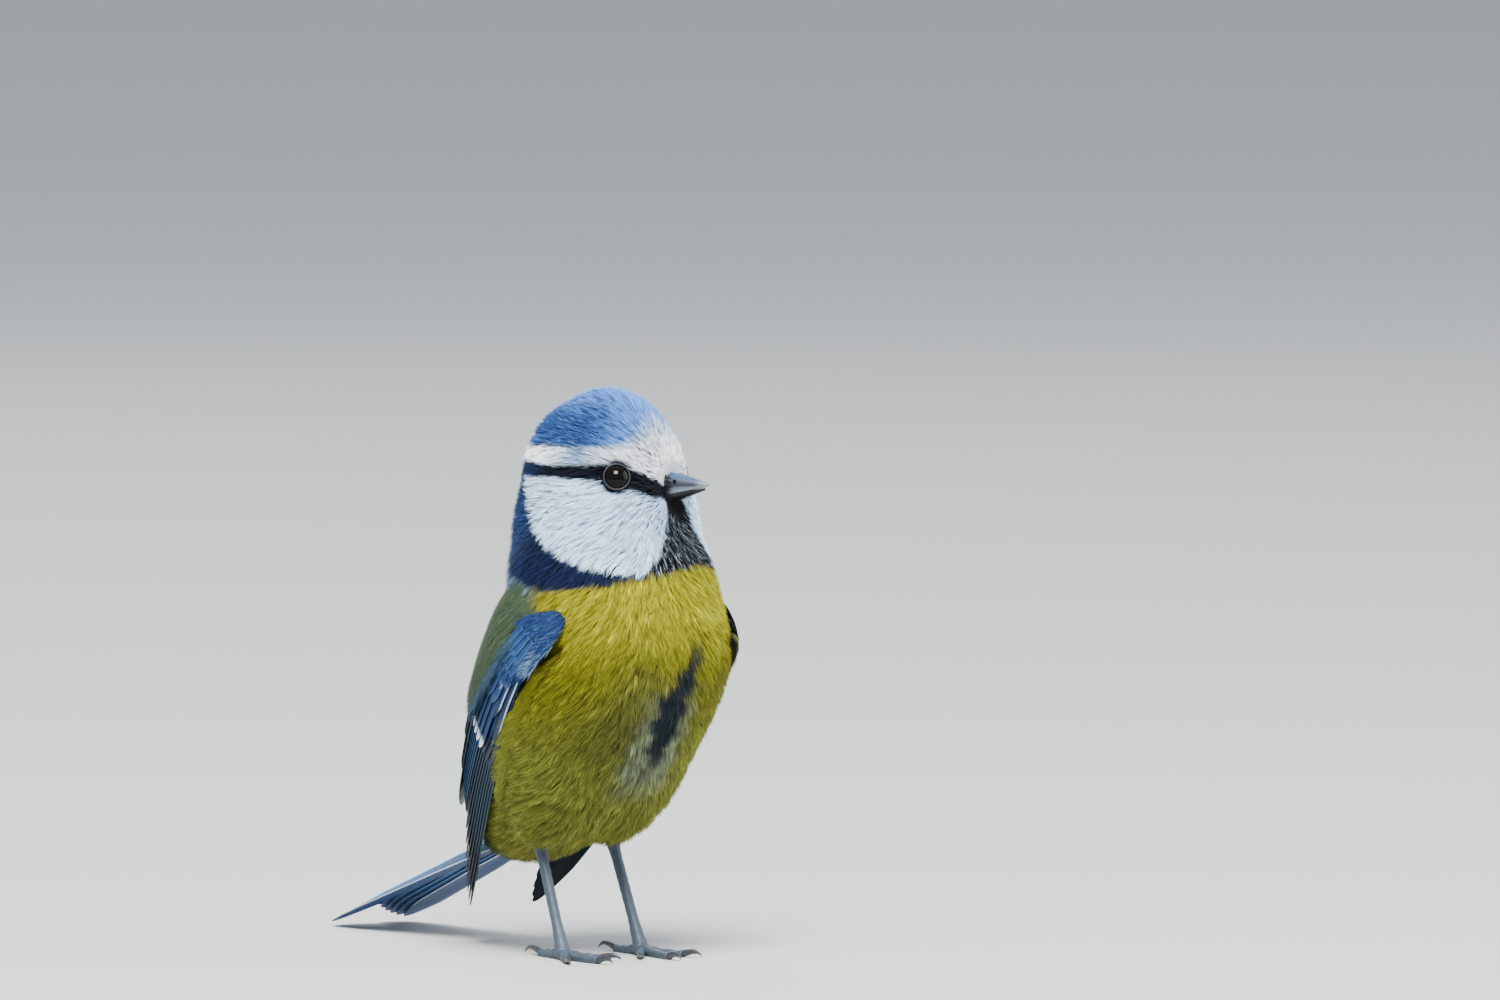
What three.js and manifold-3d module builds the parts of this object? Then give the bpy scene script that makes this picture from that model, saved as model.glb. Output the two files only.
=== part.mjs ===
// Blue tit, a still life-size model of the whole bird, standing with its head turned to its left.
// Millimetres, +Z up. The bird faces -Y, its left side is +X, and its toes rest on z = 0.
import * as THREE from 'three';
import Module from 'manifold-3d';

const wasm = await Module();
wasm.setup();
const { Manifold, Mesh } = wasm;

// Driving dimensions
const NODE_GAP = 0.3;
const HEAD_TURN = 27;
const HEAD_CENTER = [0, -0.5, 71];
const SKIN_ROWS = 42;
const SKIN_COLUMNS = 36;
const CAST_REACH = 45;
const CAST_STEP = 0.5;

const CROWN_CUT = { point: [0, 9.3, 12.0], tilt: 33 };
const NECK_TOP = { point: [0, 0, 61.0], tilt: 8 };
const NECK_BOTTOM = { point: [0, 0, 55.4], tilt: 8 };
const RUMP_CUT = { point: [0, 9, 30], tilt: 38 };

const EYE_RADIUS = 2.2;
const EYE_OPENING_RADIUS = 1.82;
const EYE_PLACE = { side: 9.3, forward: 6.9, up: 2.9 };
const EYE_SIGHT_START = 2;
const LID_TUBE = 0.28;
const LID_RISE = 0.1;

const BILL_ROOT = 9.2;
const BILL_UPPER_TIP = 17.6;
const BILL_LOWER_TIP = 16.8;
const BILL_HALF_WIDTH = { root: 2.55, tip: 0.12, taper: 0.8 };
const BILL_LEAST_HEIGHT = 0.16;
const BILL_FULLNESS = 0.9;
const BILL_ROOM_SIDEWAYS = 1.5;
const CULMEN = { height: 3.35, fall: 0.052, curve: 1.65 };
const MOUTH = { height: -0.35, slope: 0.215, from: 10.0 };
const CHIN = { height: -2.25, slope: 0.375 };
const MOUTH_GAP = 0.3;
const NOSTRIL_RADIUS = 0.36;
const NOSTRIL_PLACE = { side: 1.5, forward: 12.6, up: 2.1 };

const WING_BEND = [-17.45, -9.45, 50.0];
const WING_ALONG = [0.145, 0.614, -0.775];
const WING_OUT = [-0.933, 0.345, 0.099];
const WING_CROWN = 8.1;
const WING_CURVE_RADIUS = 17;
const WING_BULGE = { height: 4.4, length: 66, skew: 0.65 };
const BEND_DIP = { depth: 3.0, length: 12 };
const VANE_THICKNESS = 0.52;
const VANE_ROOT_WIDTH = 0.55;
const TIP_ROUNDNESS = 5.5;
const TIP_CROWDING = 1.8;
const WING_ARM = {
  along: [-3.2, 31], middle: [4.4, 8.2], half: 7.2, height: -1.15, thickness: 1.35, thin: 0.7,
};
const WING_BED = { along: [-5.2, 63], middle: [4.2, 9.0], half: [8.8, 9.8], depth: 3.0, opening: 14 };

// Groups of wing feathers. Each pair of numbers runs from a group's first feather to its last.
const WING_GROUPS = {
  primaries: {
    count: 7, rootAlong: 10, rootAcross: [1.4, 5.0], tipAlong: [60, 45.5], tipAcross: [4.4, 9.6],
    tipSpacing: 1.6, width: [3.4, 4.6], height: [-1.75, -1.05], tilt: 0.3, rows: 5,
  },
  secondaries: {
    count: 5, rootAlong: 11, rootAcross: [5.4, 9.0], tipAlong: [45.2, 43], tipAcross: [9.9, 13.0],
    tipSpacing: 1, width: [4.8, 4.8], height: [-0.95, -0.5], tilt: 0.3, rows: 5,
  },
  tertials: {
    count: 3, rootAlong: 12, rootAcross: [9.6, 12.4], tipAlong: [47, 35], tipAcross: [13.0, 15.2],
    tipSpacing: 1, width: [6.0, 5.4], height: [-0.25, 0.15], tilt: 0.26, rows: 5,
  },
  greaterCoverts: {
    count: 7, rootAlong: 9, rootAcross: [2.6, 12.2], tipAlong: [26.6, 24.6], tipAcross: [4.2, 14.2],
    tipSpacing: 1, width: [3.9, 3.9], height: [0.0, 0.35], tilt: 0.26, rows: 4,
  },
  primaryCoverts: {
    count: 2, rootAlong: 6, rootAcross: [0.5, 2.2], tipAlong: [28.6, 26.8], tipAcross: [1.7, 3.9],
    tipSpacing: 1, width: [2.9, 2.9], height: [-0.55, -0.15], tilt: 0.28, rows: 4,
  },
  medianCoverts: {
    count: 5, rootAlong: 3, rootAcross: [2.4, 10.6], tipAlong: [16.4, 15.4], tipAcross: [3.4, 13.4],
    tipSpacing: 1, width: [3.8, 3.8], height: [0.45, 0.75], tilt: 0.22, rows: 4,
  },
  alula: {
    count: 2, rootAlong: 1.5, rootAcross: [0.6, 1.9], tipAlong: [20.4, 14.4], tipAcross: [0.9, 2.6],
    tipSpacing: 1, width: [2.9, 2.9], height: [0.15, 0.5], tilt: 0.24, rows: 4,
  },
};

const TAIL_ROOT = [0, 21.5, 18.6];
const TAIL_DROOP = 19;
const TAIL_LENGTH = 50;
const TAIL_PAIRS = 6;
const TAIL_FEATHER_STEP = 0.36;
const TAIL_ROOF = 0.09;
const TAIL_ROOT_SPREAD = [0.5, 1.9];
const TAIL_TIP_SPREAD = [1.3, 6.6];
const TAIL_WIDTH = [5.4, 4.2];
const TAIL_FORK = { inner: -1.6, outer: 0.4, curve: 2.2 };
const TAIL_STUMP = { along: [-1.5, 8], half: 3.2, height: -1.0, thickness: 1.7 };
const TAIL_BED = { along: [-1.9, 30], half: [4.2, 6.4], height: -1.0, thickness: 2.3 };

const LEG_SPREAD = 6.8;
const LEG_LEAN = { ankle: -0.3, foot: 0.2 };
const KNEE = { forward: 3.0, up: 3.4 };
const ANKLE = { back: 9.0, up: 17.6 };
const FOOT_JOINT = { back: 1.5, up: 2.0 };
const TARSUS_RADIUS = 0.85;
const TARSUS_SHARES = { knee: 1.5, ankle: 1.35, middle: 0.92, foot: 1.15 };
const LEG_ROOM = 0.4;
const TOE_RADIUS = 0.85;
const TOE_TAPER = 0.72;
const TOE_WAIST = 0.84;
const CLAW_RADIUS = 0.5;
const CLAW = { start: 0.42, reach: 0.86, turn: 1.35, rise: 0.1, arch: 0.55, drop: 0.4, point: 0.08 };

// Plain vector and angle helpers
const radians = (degrees) => degrees * Math.PI / 180;
const add = (a, b) => a.map((value, i) => value + b[i]);
const scaled = (a, factor) => a.map((value) => value * factor);
const minus = (a, b) => a.map((value, i) => value - b[i]);
const dot = (a, b) => a[0] * b[0] + a[1] * b[1] + a[2] * b[2];
const cross = (a, b) => [
  a[1] * b[2] - a[2] * b[1],
  a[2] * b[0] - a[0] * b[2],
  a[0] * b[1] - a[1] * b[0],
];
const unit = (a) => scaled(a, 1 / Math.hypot(...a));
const mix = (a, b, t) => a + (b - a) * t;
const clamp = (value, low, high) => Math.min(high, Math.max(low, value));
const mirrored = (point) => [-point[0], point[1], point[2]];

const HEAD_FORWARD = [Math.sin(radians(HEAD_TURN)), -Math.cos(radians(HEAD_TURN)), 0];
const HEAD_SIDE = [Math.cos(radians(HEAD_TURN)), Math.sin(radians(HEAD_TURN)), 0];
const UP = [0, 0, 1];

// A point given in the head's own directions: to its left, forward and up
function headPoint(side, forward, up) {
  const sideways = add(HEAD_CENTER, scaled(HEAD_SIDE, side));
  return add(add(sideways, scaled(HEAD_FORWARD, forward)), scaled(UP, up));
}

// One tilted egg of the body; radii run sideways, along its long axis and toward its back
function bodyForm(center, radii, elevation, blend) {
  const c = Math.cos(radians(elevation));
  const s = Math.sin(radians(elevation));
  return { center, radii, blend, axes: [[1, 0, 0], [0, -c, s], [0, s, c]] };
}

function headForm(place, radii, elevation, blend) {
  const c = Math.cos(radians(elevation));
  const s = Math.sin(radians(elevation));
  const along = add(scaled(HEAD_FORWARD, c), scaled(UP, s));
  const over = add(scaled(HEAD_FORWARD, -s), scaled(UP, c));
  return { center: headPoint(...place), radii, blend, axes: [HEAD_SIDE, along, over] };
}

const FORMS = [
  bodyForm([0, 1.6, 42.5], [18.0, 25.5, 16.2], 65, 5),
  bodyForm([0, -3.5, 46.5], [16.3, 14.5, 13.6], 62, 5),
  bodyForm([0, -1.2, 58.5], [14.6, 12.2, 13.0], 80, 5),
  bodyForm([0, 12.5, 28.0], [11.5, 15.5, 9.5], 48, 6),
  bodyForm([0, 19.5, 21.0], [8.0, 11.0, 6.0], 30, 5),
  bodyForm([-6.8, 3.5, 27.5], [5.8, 8.5, 6.5], 62, 4),
  bodyForm([6.8, 3.5, 27.5], [5.8, 8.5, 6.5], 62, 4),
  bodyForm([-6.6, 6.2, 21.8], [3.4, 6.4, 3.6], 50, 3),
  bodyForm([6.6, 6.2, 21.8], [3.4, 6.4, 3.6], 50, 3),
  bodyForm([0, 6.3, 65.5], [10.5, 9.0, 7.0], 85, 4),
  headForm([0, 0.2, 0.6], [11.6, 11.6, 11.3], 0, 4),
  headForm([0, -0.6, 4.8], [9.6, 9.6, 10.6], -12, 4),
  headForm([-4.3, 2.6, -4.5], [7.6, 8.4, 7.5], 10, 4),
  headForm([4.3, 2.6, -4.5], [7.6, 8.4, 7.5], 10, 4),
  headForm([0, 7.4, 0.6], [4.6, 6.0, 4.6], 0, 3),
];

// Near distance to one form, below zero inside it
function formDistance(point, form) {
  const away = minus(point, form.center);
  let byRadius = 0;
  let bySquare = 0;
  for (let k = 0; k < 3; k += 1) {
    const along = dot(away, form.axes[k]);
    const radius = form.radii[k];
    byRadius += (along / radius) ** 2;
    bySquare += (along / (radius * radius)) ** 2;
  }
  const a = Math.sqrt(byRadius);
  return a * (a - 1) / Math.max(Math.sqrt(bySquare), 1e-9);
}

// All forms joined softly into one skin
function skinDistance(point) {
  let distance = formDistance(point, FORMS[0]);
  for (const form of FORMS.slice(1)) {
    const value = formDistance(point, form);
    const share = clamp(0.5 + 0.5 * (distance - value) / form.blend, 0, 1);
    distance = distance * (1 - share) + value * share - form.blend * share * (1 - share);
  }
  return distance;
}

// Distance along a ray from its start to the outermost crossing of the skin
function castToSkin(start, direction) {
  let reach = CAST_REACH;
  while (reach > 0 && skinDistance(add(start, scaled(direction, reach))) > 0) {
    reach -= CAST_STEP;
  }
  let low = Math.max(reach, 0);
  let high = low + CAST_STEP;
  for (let round = 0; round < 12; round += 1) {
    const middle = (low + high) / 2;
    if (skinDistance(add(start, scaled(direction, middle))) < 0) {
      low = middle;
    } else {
      high = middle;
    }
  }
  return (low + high) / 2;
}

// Centre line of the body, from the middle of the head to the root of the tail
const SPINE = [
  [0, -1, 72],
  [0, -1.5, 60],
  [0, 0.5, 47],
  [0, 4, 37],
  [0, 11, 28],
  [0, 19, 21.5],
];
const SPINE_CURVE = new THREE.CatmullRomCurve3(
  SPINE.map((point) => new THREE.Vector3(...point)), false, 'catmullrom', 0.5,
);
const CROWN_SHARE = 0.22;
const TAIL_SHARE = 0.12;

// Place of row u (0 crown, 1 tail root) and direction v (0 to 1 round the body) on the skin
function skinPoint(u, v) {
  const t = clamp((u - CROWN_SHARE) / (1 - CROWN_SHARE - TAIL_SHARE), 0, 1);
  let theta = Math.PI / 2;
  if (u < CROWN_SHARE) {
    theta = u / CROWN_SHARE * Math.PI / 2;
  }
  if (u > 1 - TAIL_SHARE) {
    theta = Math.PI / 2 * (1 + (u - 1 + TAIL_SHARE) / TAIL_SHARE);
  }
  const start = SPINE_CURVE.getPoint(t).toArray();
  const down = SPINE_CURVE.getTangent(t).toArray();
  const side = [1, 0, 0];
  const back = cross(down, side);
  const phi = v * 2 * Math.PI;
  const round = add(scaled(side, Math.cos(phi)), scaled(back, Math.sin(phi)));
  const direction = unit(add(scaled(down, -Math.cos(theta)), scaled(round, Math.sin(theta))));
  return add(start, scaled(direction, castToSkin(start, direction)));
}

// Makes a closed solid from points and triangles, turned so that it faces out
function solidFrom(points, triangles) {
  let volume = 0;
  for (const [a, b, c] of triangles) {
    volume += dot(points[a], cross(points[b], points[c]));
  }
  const facing = volume > 0 ? triangles : triangles.map(([a, b, c]) => [a, c, b]);
  const mesh = new Mesh({
    numProp: 3,
    vertProperties: new Float32Array(points.flat()),
    triVerts: new Uint32Array(facing.flat()),
  });
  return new Manifold(mesh);
}

// Closed surface of rings between two end points; pointAt(row, column) gives each place.
// Columns from turnAt on take the other diagonal, so that both faces of a vane match.
function closedGrid(rows, columns, pointAt, turnAt = columns) {
  const points = [pointAt(0, 0)];
  for (let row = 1; row < rows; row += 1) {
    for (let column = 0; column < columns; column += 1) {
      points.push(pointAt(row, column));
    }
  }
  points.push(pointAt(rows, 0));
  const last = points.length - 1;
  const at = (row, column) => 1 + (row - 1) * columns + column % columns;
  const triangles = [];
  for (let column = 0; column < columns; column += 1) {
    triangles.push([0, at(1, column), at(1, column + 1)]);
    triangles.push([last, at(rows - 1, column + 1), at(rows - 1, column)]);
    for (let row = 1; row < rows - 1; row += 1) {
      const a = at(row, column);
      const b = at(row, column + 1);
      const c = at(row + 1, column + 1);
      const d = at(row + 1, column);
      if (column < turnAt) {
        triangles.push([a, d, c], [a, c, b]);
      } else {
        triangles.push([a, d, b], [d, c, b]);
      }
    }
  }
  return solidFrom(points, triangles);
}

// Round rod through the given points with a radius at each, its ends closed flat
function rod(path, radii, sides, flatten = 1) {
  const count = path.length;
  const rings = path.map((point, i) => {
    const before = path[Math.max(i - 1, 0)];
    const after = path[Math.min(i + 1, count - 1)];
    const along = unit(minus(after, before));
    const guide = Math.abs(along[2]) > 0.8 ? [0, 1, 0] : UP;
    const side = unit(cross(along, guide));
    return { point, side, over: cross(side, along), radius: radii[i] };
  });
  return closedGrid(count + 1, sides, (row, column) => {
    const ring = rings[clamp(row - 1, 0, count - 1)];
    if (row === 0 || row === count + 1) {
      return ring.point;
    }
    const angle = 2 * Math.PI * column / sides;
    const across = scaled(ring.side, ring.radius * Math.cos(angle));
    return add(ring.point, add(across, scaled(ring.over, ring.radius * flatten * Math.sin(angle))));
  });
}

function ball(center, radius, rows, columns) {
  return closedGrid(rows, columns, (row, column) => {
    const theta = Math.PI * row / rows;
    const phi = 2 * Math.PI * column / columns;
    const direction = [
      Math.sin(theta) * Math.cos(phi),
      Math.sin(theta) * Math.sin(phi),
      Math.cos(theta),
    ];
    return add(center, scaled(direction, radius));
  });
}

const joined = (solids) => solids.reduce((whole, solid) => whole.add(solid));

// The part of a solid on the side of a plane that its normal points to, half a gap away from it
function beyond(solid, point, normal) {
  return solid.trimByPlane(normal, dot(point, normal) + NODE_GAP / 2);
}

// Cut planes; each leans back by its tilt, and its normal points toward the crown
function cutNormal(tilt) {
  return [0, -Math.sin(radians(tilt)), Math.cos(radians(tilt))];
}

// Eyes
function eyeFrame(sign) {
  const target = headPoint(EYE_PLACE.side * sign, EYE_PLACE.forward, EYE_PLACE.up);
  const start = headPoint(0, EYE_SIGHT_START, EYE_PLACE.up);
  const direction = unit(minus(target, start));
  const surface = add(start, scaled(direction, castToSkin(start, direction)));
  const probe = 0.2;
  const slope = [[1, 0, 0], [0, 1, 0], [0, 0, 1]].map((axis) => (
    skinDistance(add(surface, scaled(axis, probe))) - skinDistance(minus(surface, scaled(axis, probe)))
  ));
  const out = unit(slope);
  const depth = Math.sqrt(EYE_RADIUS ** 2 - EYE_OPENING_RADIUS ** 2);
  return { surface, out, center: minus(surface, scaled(out, depth)), depth };
}

// Lids: a low ring of skin round the eye, clear of the eyeball by a narrow gap
function lidRing(eye) {
  const reach = EYE_RADIUS + NODE_GAP + LID_TUBE;
  const ringRadius = Math.sqrt(reach ** 2 - (eye.depth + LID_RISE) ** 2);
  const side = unit(cross(eye.out, UP));
  const over = cross(side, eye.out);
  const middle = add(eye.surface, scaled(eye.out, LID_RISE));
  const around = 16;
  const across = 5;
  const points = [];
  const triangles = [];
  for (let i = 0; i < around; i += 1) {
    const phi = 2 * Math.PI * i / around;
    const away = add(scaled(side, Math.cos(phi)), scaled(over, Math.sin(phi)));
    for (let j = 0; j < across; j += 1) {
      const angle = 2 * Math.PI * j / across;
      const spread = ringRadius + LID_TUBE * Math.cos(angle);
      const rise = LID_TUBE * Math.sin(angle);
      points.push(add(middle, add(scaled(away, spread), scaled(eye.out, rise))));
      const a = i * across + j;
      const b = i * across + (j + 1) % across;
      const c = ((i + 1) % around) * across + (j + 1) % across;
      const d = ((i + 1) % around) * across + j;
      triangles.push([a, b, c], [a, c, d]);
    }
  }
  return solidFrom(points, triangles);
}

// Bill: its ridge, mouth line and chin as heights above the head's centre
function culmenHeight(forward) {
  return CULMEN.height - CULMEN.fall * Math.max(forward - BILL_ROOT, 0) ** CULMEN.curve;
}

const mouthHeight = (forward) => MOUTH.height + MOUTH.slope * (forward - MOUTH.from);
const chinHeight = (forward) => CHIN.height + CHIN.slope * (forward - BILL_ROOT);
const BILL_ROWS = 7;
const BILL_COLUMNS = 12;

// Half of the bill from the mouth line to the height of its far edge, grown by an allowance
function billHalf(tip, farHeight, mouthOffset, grow) {
  return closedGrid(BILL_ROWS, BILL_COLUMNS, (row, column) => {
    const t = clamp((row - 0.5) / (BILL_ROWS - 1), 0, 1);
    const forward = mix(BILL_ROOT - grow, tip, t);
    const mouth = mouthHeight(forward) + mouthOffset;
    const depth = farHeight(forward) - mouth;
    const halfWidth = BILL_HALF_WIDTH.root * (1 - t) ** BILL_HALF_WIDTH.taper + BILL_HALF_WIDTH.tip;
    const height = Math.max(Math.abs(depth), BILL_LEAST_HEIGHT) * Math.sign(depth);
    if (row === 0 || row === BILL_ROWS) {
      return headPoint(0, forward, mouth + height * 0.4);
    }
    const angle = 2 * Math.PI * column / BILL_COLUMNS;
    const side = Math.cos(angle);
    const rise = Math.sin(angle);
    const lift = rise > 0 ? height * rise ** BILL_FULLNESS : 0;
    const sideways = side * (halfWidth + BILL_ROOM_SIDEWAYS * grow);
    const growth = grow * clamp(rise * 3, -1, 1) * Math.sign(height);
    return headPoint(sideways, forward, mouth + lift + growth);
  });
}

// Wings, in a frame of distance along (s), across toward the back (w) and outward (h)
const WING_BACKWARD = cross(WING_ALONG, WING_OUT);
const WING_ACROSS = WING_BACKWARD[2] > 0 ? WING_BACKWARD : scaled(WING_BACKWARD, -1);

function wingPoint(s, w, h) {
  const t = clamp((s + 4) / WING_BULGE.length, 0, 1);
  const flat = clamp((s + 4) / BEND_DIP.length, 0, 1);
  const dip = BEND_DIP.depth * (1 - flat) ** 2;
  const bulge = WING_BULGE.height * Math.sin(Math.PI * t ** WING_BULGE.skew) - dip;
  const bow = (w - WING_CROWN) ** 2 / (2 * WING_CURVE_RADIUS) - bulge;
  const inPlane = add(scaled(WING_ALONG, s), scaled(WING_ACROSS, w));
  return add(add(WING_BEND, inPlane), scaled(WING_OUT, h - bow));
}

// One feather as a thin closed vane between two places of a frame. Its far edge across
// dips under the next feather, its near edge shows, and its width follows a rounded tip.
function vane(frame, { root, tip, width, height, tilt, rows = 5 }) {
  const along = [tip[0] - root[0], tip[1] - root[1]];
  const length = Math.hypot(...along);
  const across = [-along[1] / length, along[0] / length];
  const corner = [[-1, 0.5], [1, 0.5], [1, -0.5], [-1, -0.5]];
  return closedGrid(rows, corner.length, (row, column) => {
    const u = clamp((row - 0.2) / (rows - 0.4), 0, 1);
    const t = 1 - (1 - u) ** TIP_CROWDING;
    const rounded = Math.sqrt(clamp((1 - t) * TIP_ROUNDNESS, 0, 1));
    const half = width / 2 * rounded * mix(VANE_ROOT_WIDTH, 1, clamp(t * 2.5, 0, 1));
    const atEnd = row === 0 || row === rows;
    const [side, face] = atEnd ? [0, 0] : corner[column];
    const v = side * half;
    const s = root[0] + along[0] * t + across[0] * v;
    const w = root[1] + along[1] * t + across[1] * v;
    const thickness = VANE_THICKNESS * mix(1, 0.8, t);
    const h = height - tilt * v + face * thickness;
    return frame(s, w, h);
  }, corner.length / 2);
}

// How full a closed blade is at the share t of its length: 0 at both ends, 1 in the middle
function fullness(t, power) {
  return Math.sqrt(Math.max(1 - (2 * t - 1) ** 2, 0)) ** power;
}

const between = (pair, t) => mix(pair[0], pair[1], t);

// The blade that the feathers root in, thick at the bend and thin toward its end
function wingArm(frame) {
  const rows = 12;
  const columns = 14;
  return closedGrid(rows, columns, (row, column) => {
    const t = row / rows;
    const round = fullness(t, 0.8);
    const angle = 2 * Math.PI * column / columns;
    const w = between(WING_ARM.middle, t) + WING_ARM.half * round * Math.cos(angle);
    const thickness = WING_ARM.thickness * mix(1.0, WING_ARM.thin, t);
    const h = WING_ARM.height + thickness * round * Math.sin(angle);
    return frame(between(WING_ARM.along, t), w, h);
  });
}

function series(count, make) {
  return Array.from({ length: count }, (_, i) => make(i, count > 1 ? i / (count - 1) : 0));
}

function wingSolid(frame) {
  const feathers = Object.values(WING_GROUPS).flatMap((group) => series(group.count, (i, t) => (
    vane(frame, {
      root: [group.rootAlong, between(group.rootAcross, t)],
      tip: [between(group.tipAlong, t ** group.tipSpacing), between(group.tipAcross, t)],
      width: between(group.width, t),
      height: between(group.height, t),
      tilt: group.tilt,
      rows: group.rows,
    })
  )));
  return joined([wingArm(frame), ...feathers]);
}

// The hollow in the body's side that the wing lies in, open outward
function wingBed(frame) {
  const rows = 16;
  const columns = 16;
  return closedGrid(rows, columns, (row, column) => {
    const u = row / rows;
    const t = 1 - (1 - u) ** 1.3;
    const s = between(WING_BED.along, t ** 1.2);
    const round = fullness(u, 0.7);
    const middle = between(WING_BED.middle, clamp((s + 4) / 34, 0, 1));
    const half = between(WING_BED.half, clamp((s + 4) / 20, 0, 1)) * round;
    const angle = 2 * Math.PI * column / columns;
    const rise = Math.sin(angle);
    const w = middle + half * Math.cos(angle);
    const open = Math.min(1, round * 2.2);
    const floor = -WING_BED.depth * Math.abs(rise) ** 0.4 * open;
    return frame(s, w, rise > 0 ? WING_BED.opening * rise * open : floor);
  });
}

// Tail: six pairs of feathers, the middle pair on top, each next one lower and further out
function tailPoint(s, w, h) {
  const along = [0, Math.cos(radians(TAIL_DROOP)), -Math.sin(radians(TAIL_DROOP))];
  const over = [0, Math.sin(radians(TAIL_DROOP)), Math.cos(radians(TAIL_DROOP))];
  const inPlane = add(scaled(along, s), [w, 0, 0]);
  return add(add(TAIL_ROOT, inPlane), scaled(over, h));
}

function tailSolid() {
  const feathers = series(TAIL_PAIRS, (i, t) => [-1, 1].map((sign) => {
    const fork = mix(TAIL_FORK.inner, TAIL_FORK.outer, Math.sin(t * TAIL_FORK.curve));
    return vane(tailPoint, {
      root: [0, sign * between(TAIL_ROOT_SPREAD, t)],
      tip: [TAIL_LENGTH + fork, sign * between(TAIL_TIP_SPREAD, t)],
      width: between(TAIL_WIDTH, t),
      height: -TAIL_FEATHER_STEP * i + (sign > 0 ? TAIL_FEATHER_STEP / 2 : 0),
      tilt: sign * TAIL_ROOF,
    });
  })).flat();
  return joined([rootBlock(), ...feathers]);
}

// The stump that the tail feathers root in
function rootBlock() {
  const rows = 6;
  const columns = 10;
  return closedGrid(rows, columns, (row, column) => {
    const t = row / rows;
    const round = fullness(t, 0.7);
    const angle = 2 * Math.PI * column / columns;
    const w = TAIL_STUMP.half * round * Math.cos(angle);
    const h = TAIL_STUMP.height + TAIL_STUMP.thickness * round * Math.sin(angle);
    return tailPoint(between(TAIL_STUMP.along, t), w, h);
  });
}

// The hollow cut in the rump for the tail feathers, a flat box with rounded corners
function tailBed() {
  const rows = 6;
  const columns = 12;
  const squared = (value) => Math.sign(value) * Math.sqrt(Math.abs(value));
  return closedGrid(rows, columns, (row, column) => {
    const t = clamp((row - 1) / (rows - 2), 0, 1);
    const inside = row === 0 || row === rows ? 0 : 1;
    const angle = 2 * Math.PI * column / columns;
    const w = inside * between(TAIL_BED.half, t) * squared(Math.cos(angle));
    const h = TAIL_BED.height + inside * TAIL_BED.thickness * squared(Math.sin(angle));
    return tailPoint(between(TAIL_BED.along, t), w, h);
  });
}

// Legs and feet
const TOES = [
  { name: 'middle', heading: 4, length: 9.0, claw: 4.4, radius: 1.0 },
  { name: 'inner', heading: 33, length: 6.5, claw: 3.8, radius: 0.92 },
  { name: 'outer', heading: -27, length: 7.5, claw: 3.8, radius: 0.92 },
  { name: 'hind', heading: 178, length: 6.5, claw: 5.6, radius: 1.05 },
];
const TOE_LIFT = 0.5;
const TOE_ARCH = 0.9;
const PAD_RADIUS = 1.3;
const PAD_HEIGHT = 1.0;

// Toes are headed from straight forward, turned inward where the heading is above zero
function toeDirection(toe, sign) {
  const heading = radians(toe.heading);
  return [-sign * Math.sin(heading), -Math.cos(heading), 0];
}

function footCenter(sign) {
  return [sign * (LEG_SPREAD + LEG_LEAN.foot), FOOT_JOINT.back, TOE_LIFT];
}

// A toe with three low swellings at its joints
function toeRod(toe, sign) {
  const start = footCenter(sign);
  const direction = toeDirection(toe, sign);
  const rings = 7;
  const path = [];
  const radii = [];
  for (let i = 0; i < rings; i += 1) {
    const t = i / (rings - 1);
    const arch = TOE_ARCH * (1 - t) ** 4;
    path.push(add(start, [direction[0] * toe.length * t, direction[1] * toe.length * t, arch]));
    const swelling = i % 2 === 0 ? 1 : TOE_WAIST;
    radii.push(TOE_RADIUS * toe.radius * swelling * mix(1, TOE_TAPER, t));
  }
  return rod(path, radii, 6);
}

// Joints of a leg from the knee, inside the belly, down to the foot
function legJoints(sign) {
  const x = sign * (LEG_SPREAD + LEG_LEAN.ankle);
  const ankle = [x, ANKLE.back, ANKLE.up];
  const knee = [x, ANKLE.back - KNEE.forward, ANKLE.up + KNEE.up];
  const foot = [sign * (LEG_SPREAD + LEG_LEAN.foot), FOOT_JOINT.back, FOOT_JOINT.up];
  return { knee, ankle, middle: scaled(add(ankle, foot), 0.5), foot };
}

function legSolid(sign) {
  const joints = legJoints(sign);
  const shares = Object.values(TARSUS_SHARES);
  const shin = rod(Object.values(joints), shares.map((share) => TARSUS_RADIUS * share), 8);
  const pad = ball([joints.foot[0], joints.foot[1], PAD_HEIGHT], PAD_RADIUS, 6, 8);
  const whole = joined([shin, pad, ...TOES.map((toe) => toeRod(toe, sign))]);
  return whole.trimByPlane([0, 0, 1], 0);
}

function legSocket(sign) {
  const { knee, ankle, middle } = legJoints(sign);
  const away = scaled(unit(minus(knee, ankle)), NODE_GAP * 1.3);
  const shares = Object.values(TARSUS_SHARES).slice(0, 3);
  const radii = shares.map((share) => TARSUS_RADIUS * share + LEG_ROOM);
  return rod([add(knee, away), ankle, middle], radii, 12);
}

// A claw curves from the end of its toe down to just above the floor
function clawSolid(toe, sign) {
  const start = footCenter(sign);
  const direction = toeDirection(toe, sign);
  const rings = 6;
  const path = [];
  const radii = [];
  for (let i = 0; i < rings; i += 1) {
    const t = i / (rings - 1);
    const reach = toe.length + CLAW.start + toe.claw * CLAW.reach * Math.sin(t * CLAW.turn);
    const arch = CLAW.arch * Math.sin(t * Math.PI) * toe.claw / 4;
    const height = TOE_LIFT + CLAW.rise + arch - CLAW.drop * t;
    path.push([start[0] + direction[0] * reach, start[1] + direction[1] * reach, height]);
    radii.push(Math.max(CLAW_RADIUS * (1 - t) ** 0.8, CLAW.point));
  }
  return rod(path, radii, 6);
}

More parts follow.
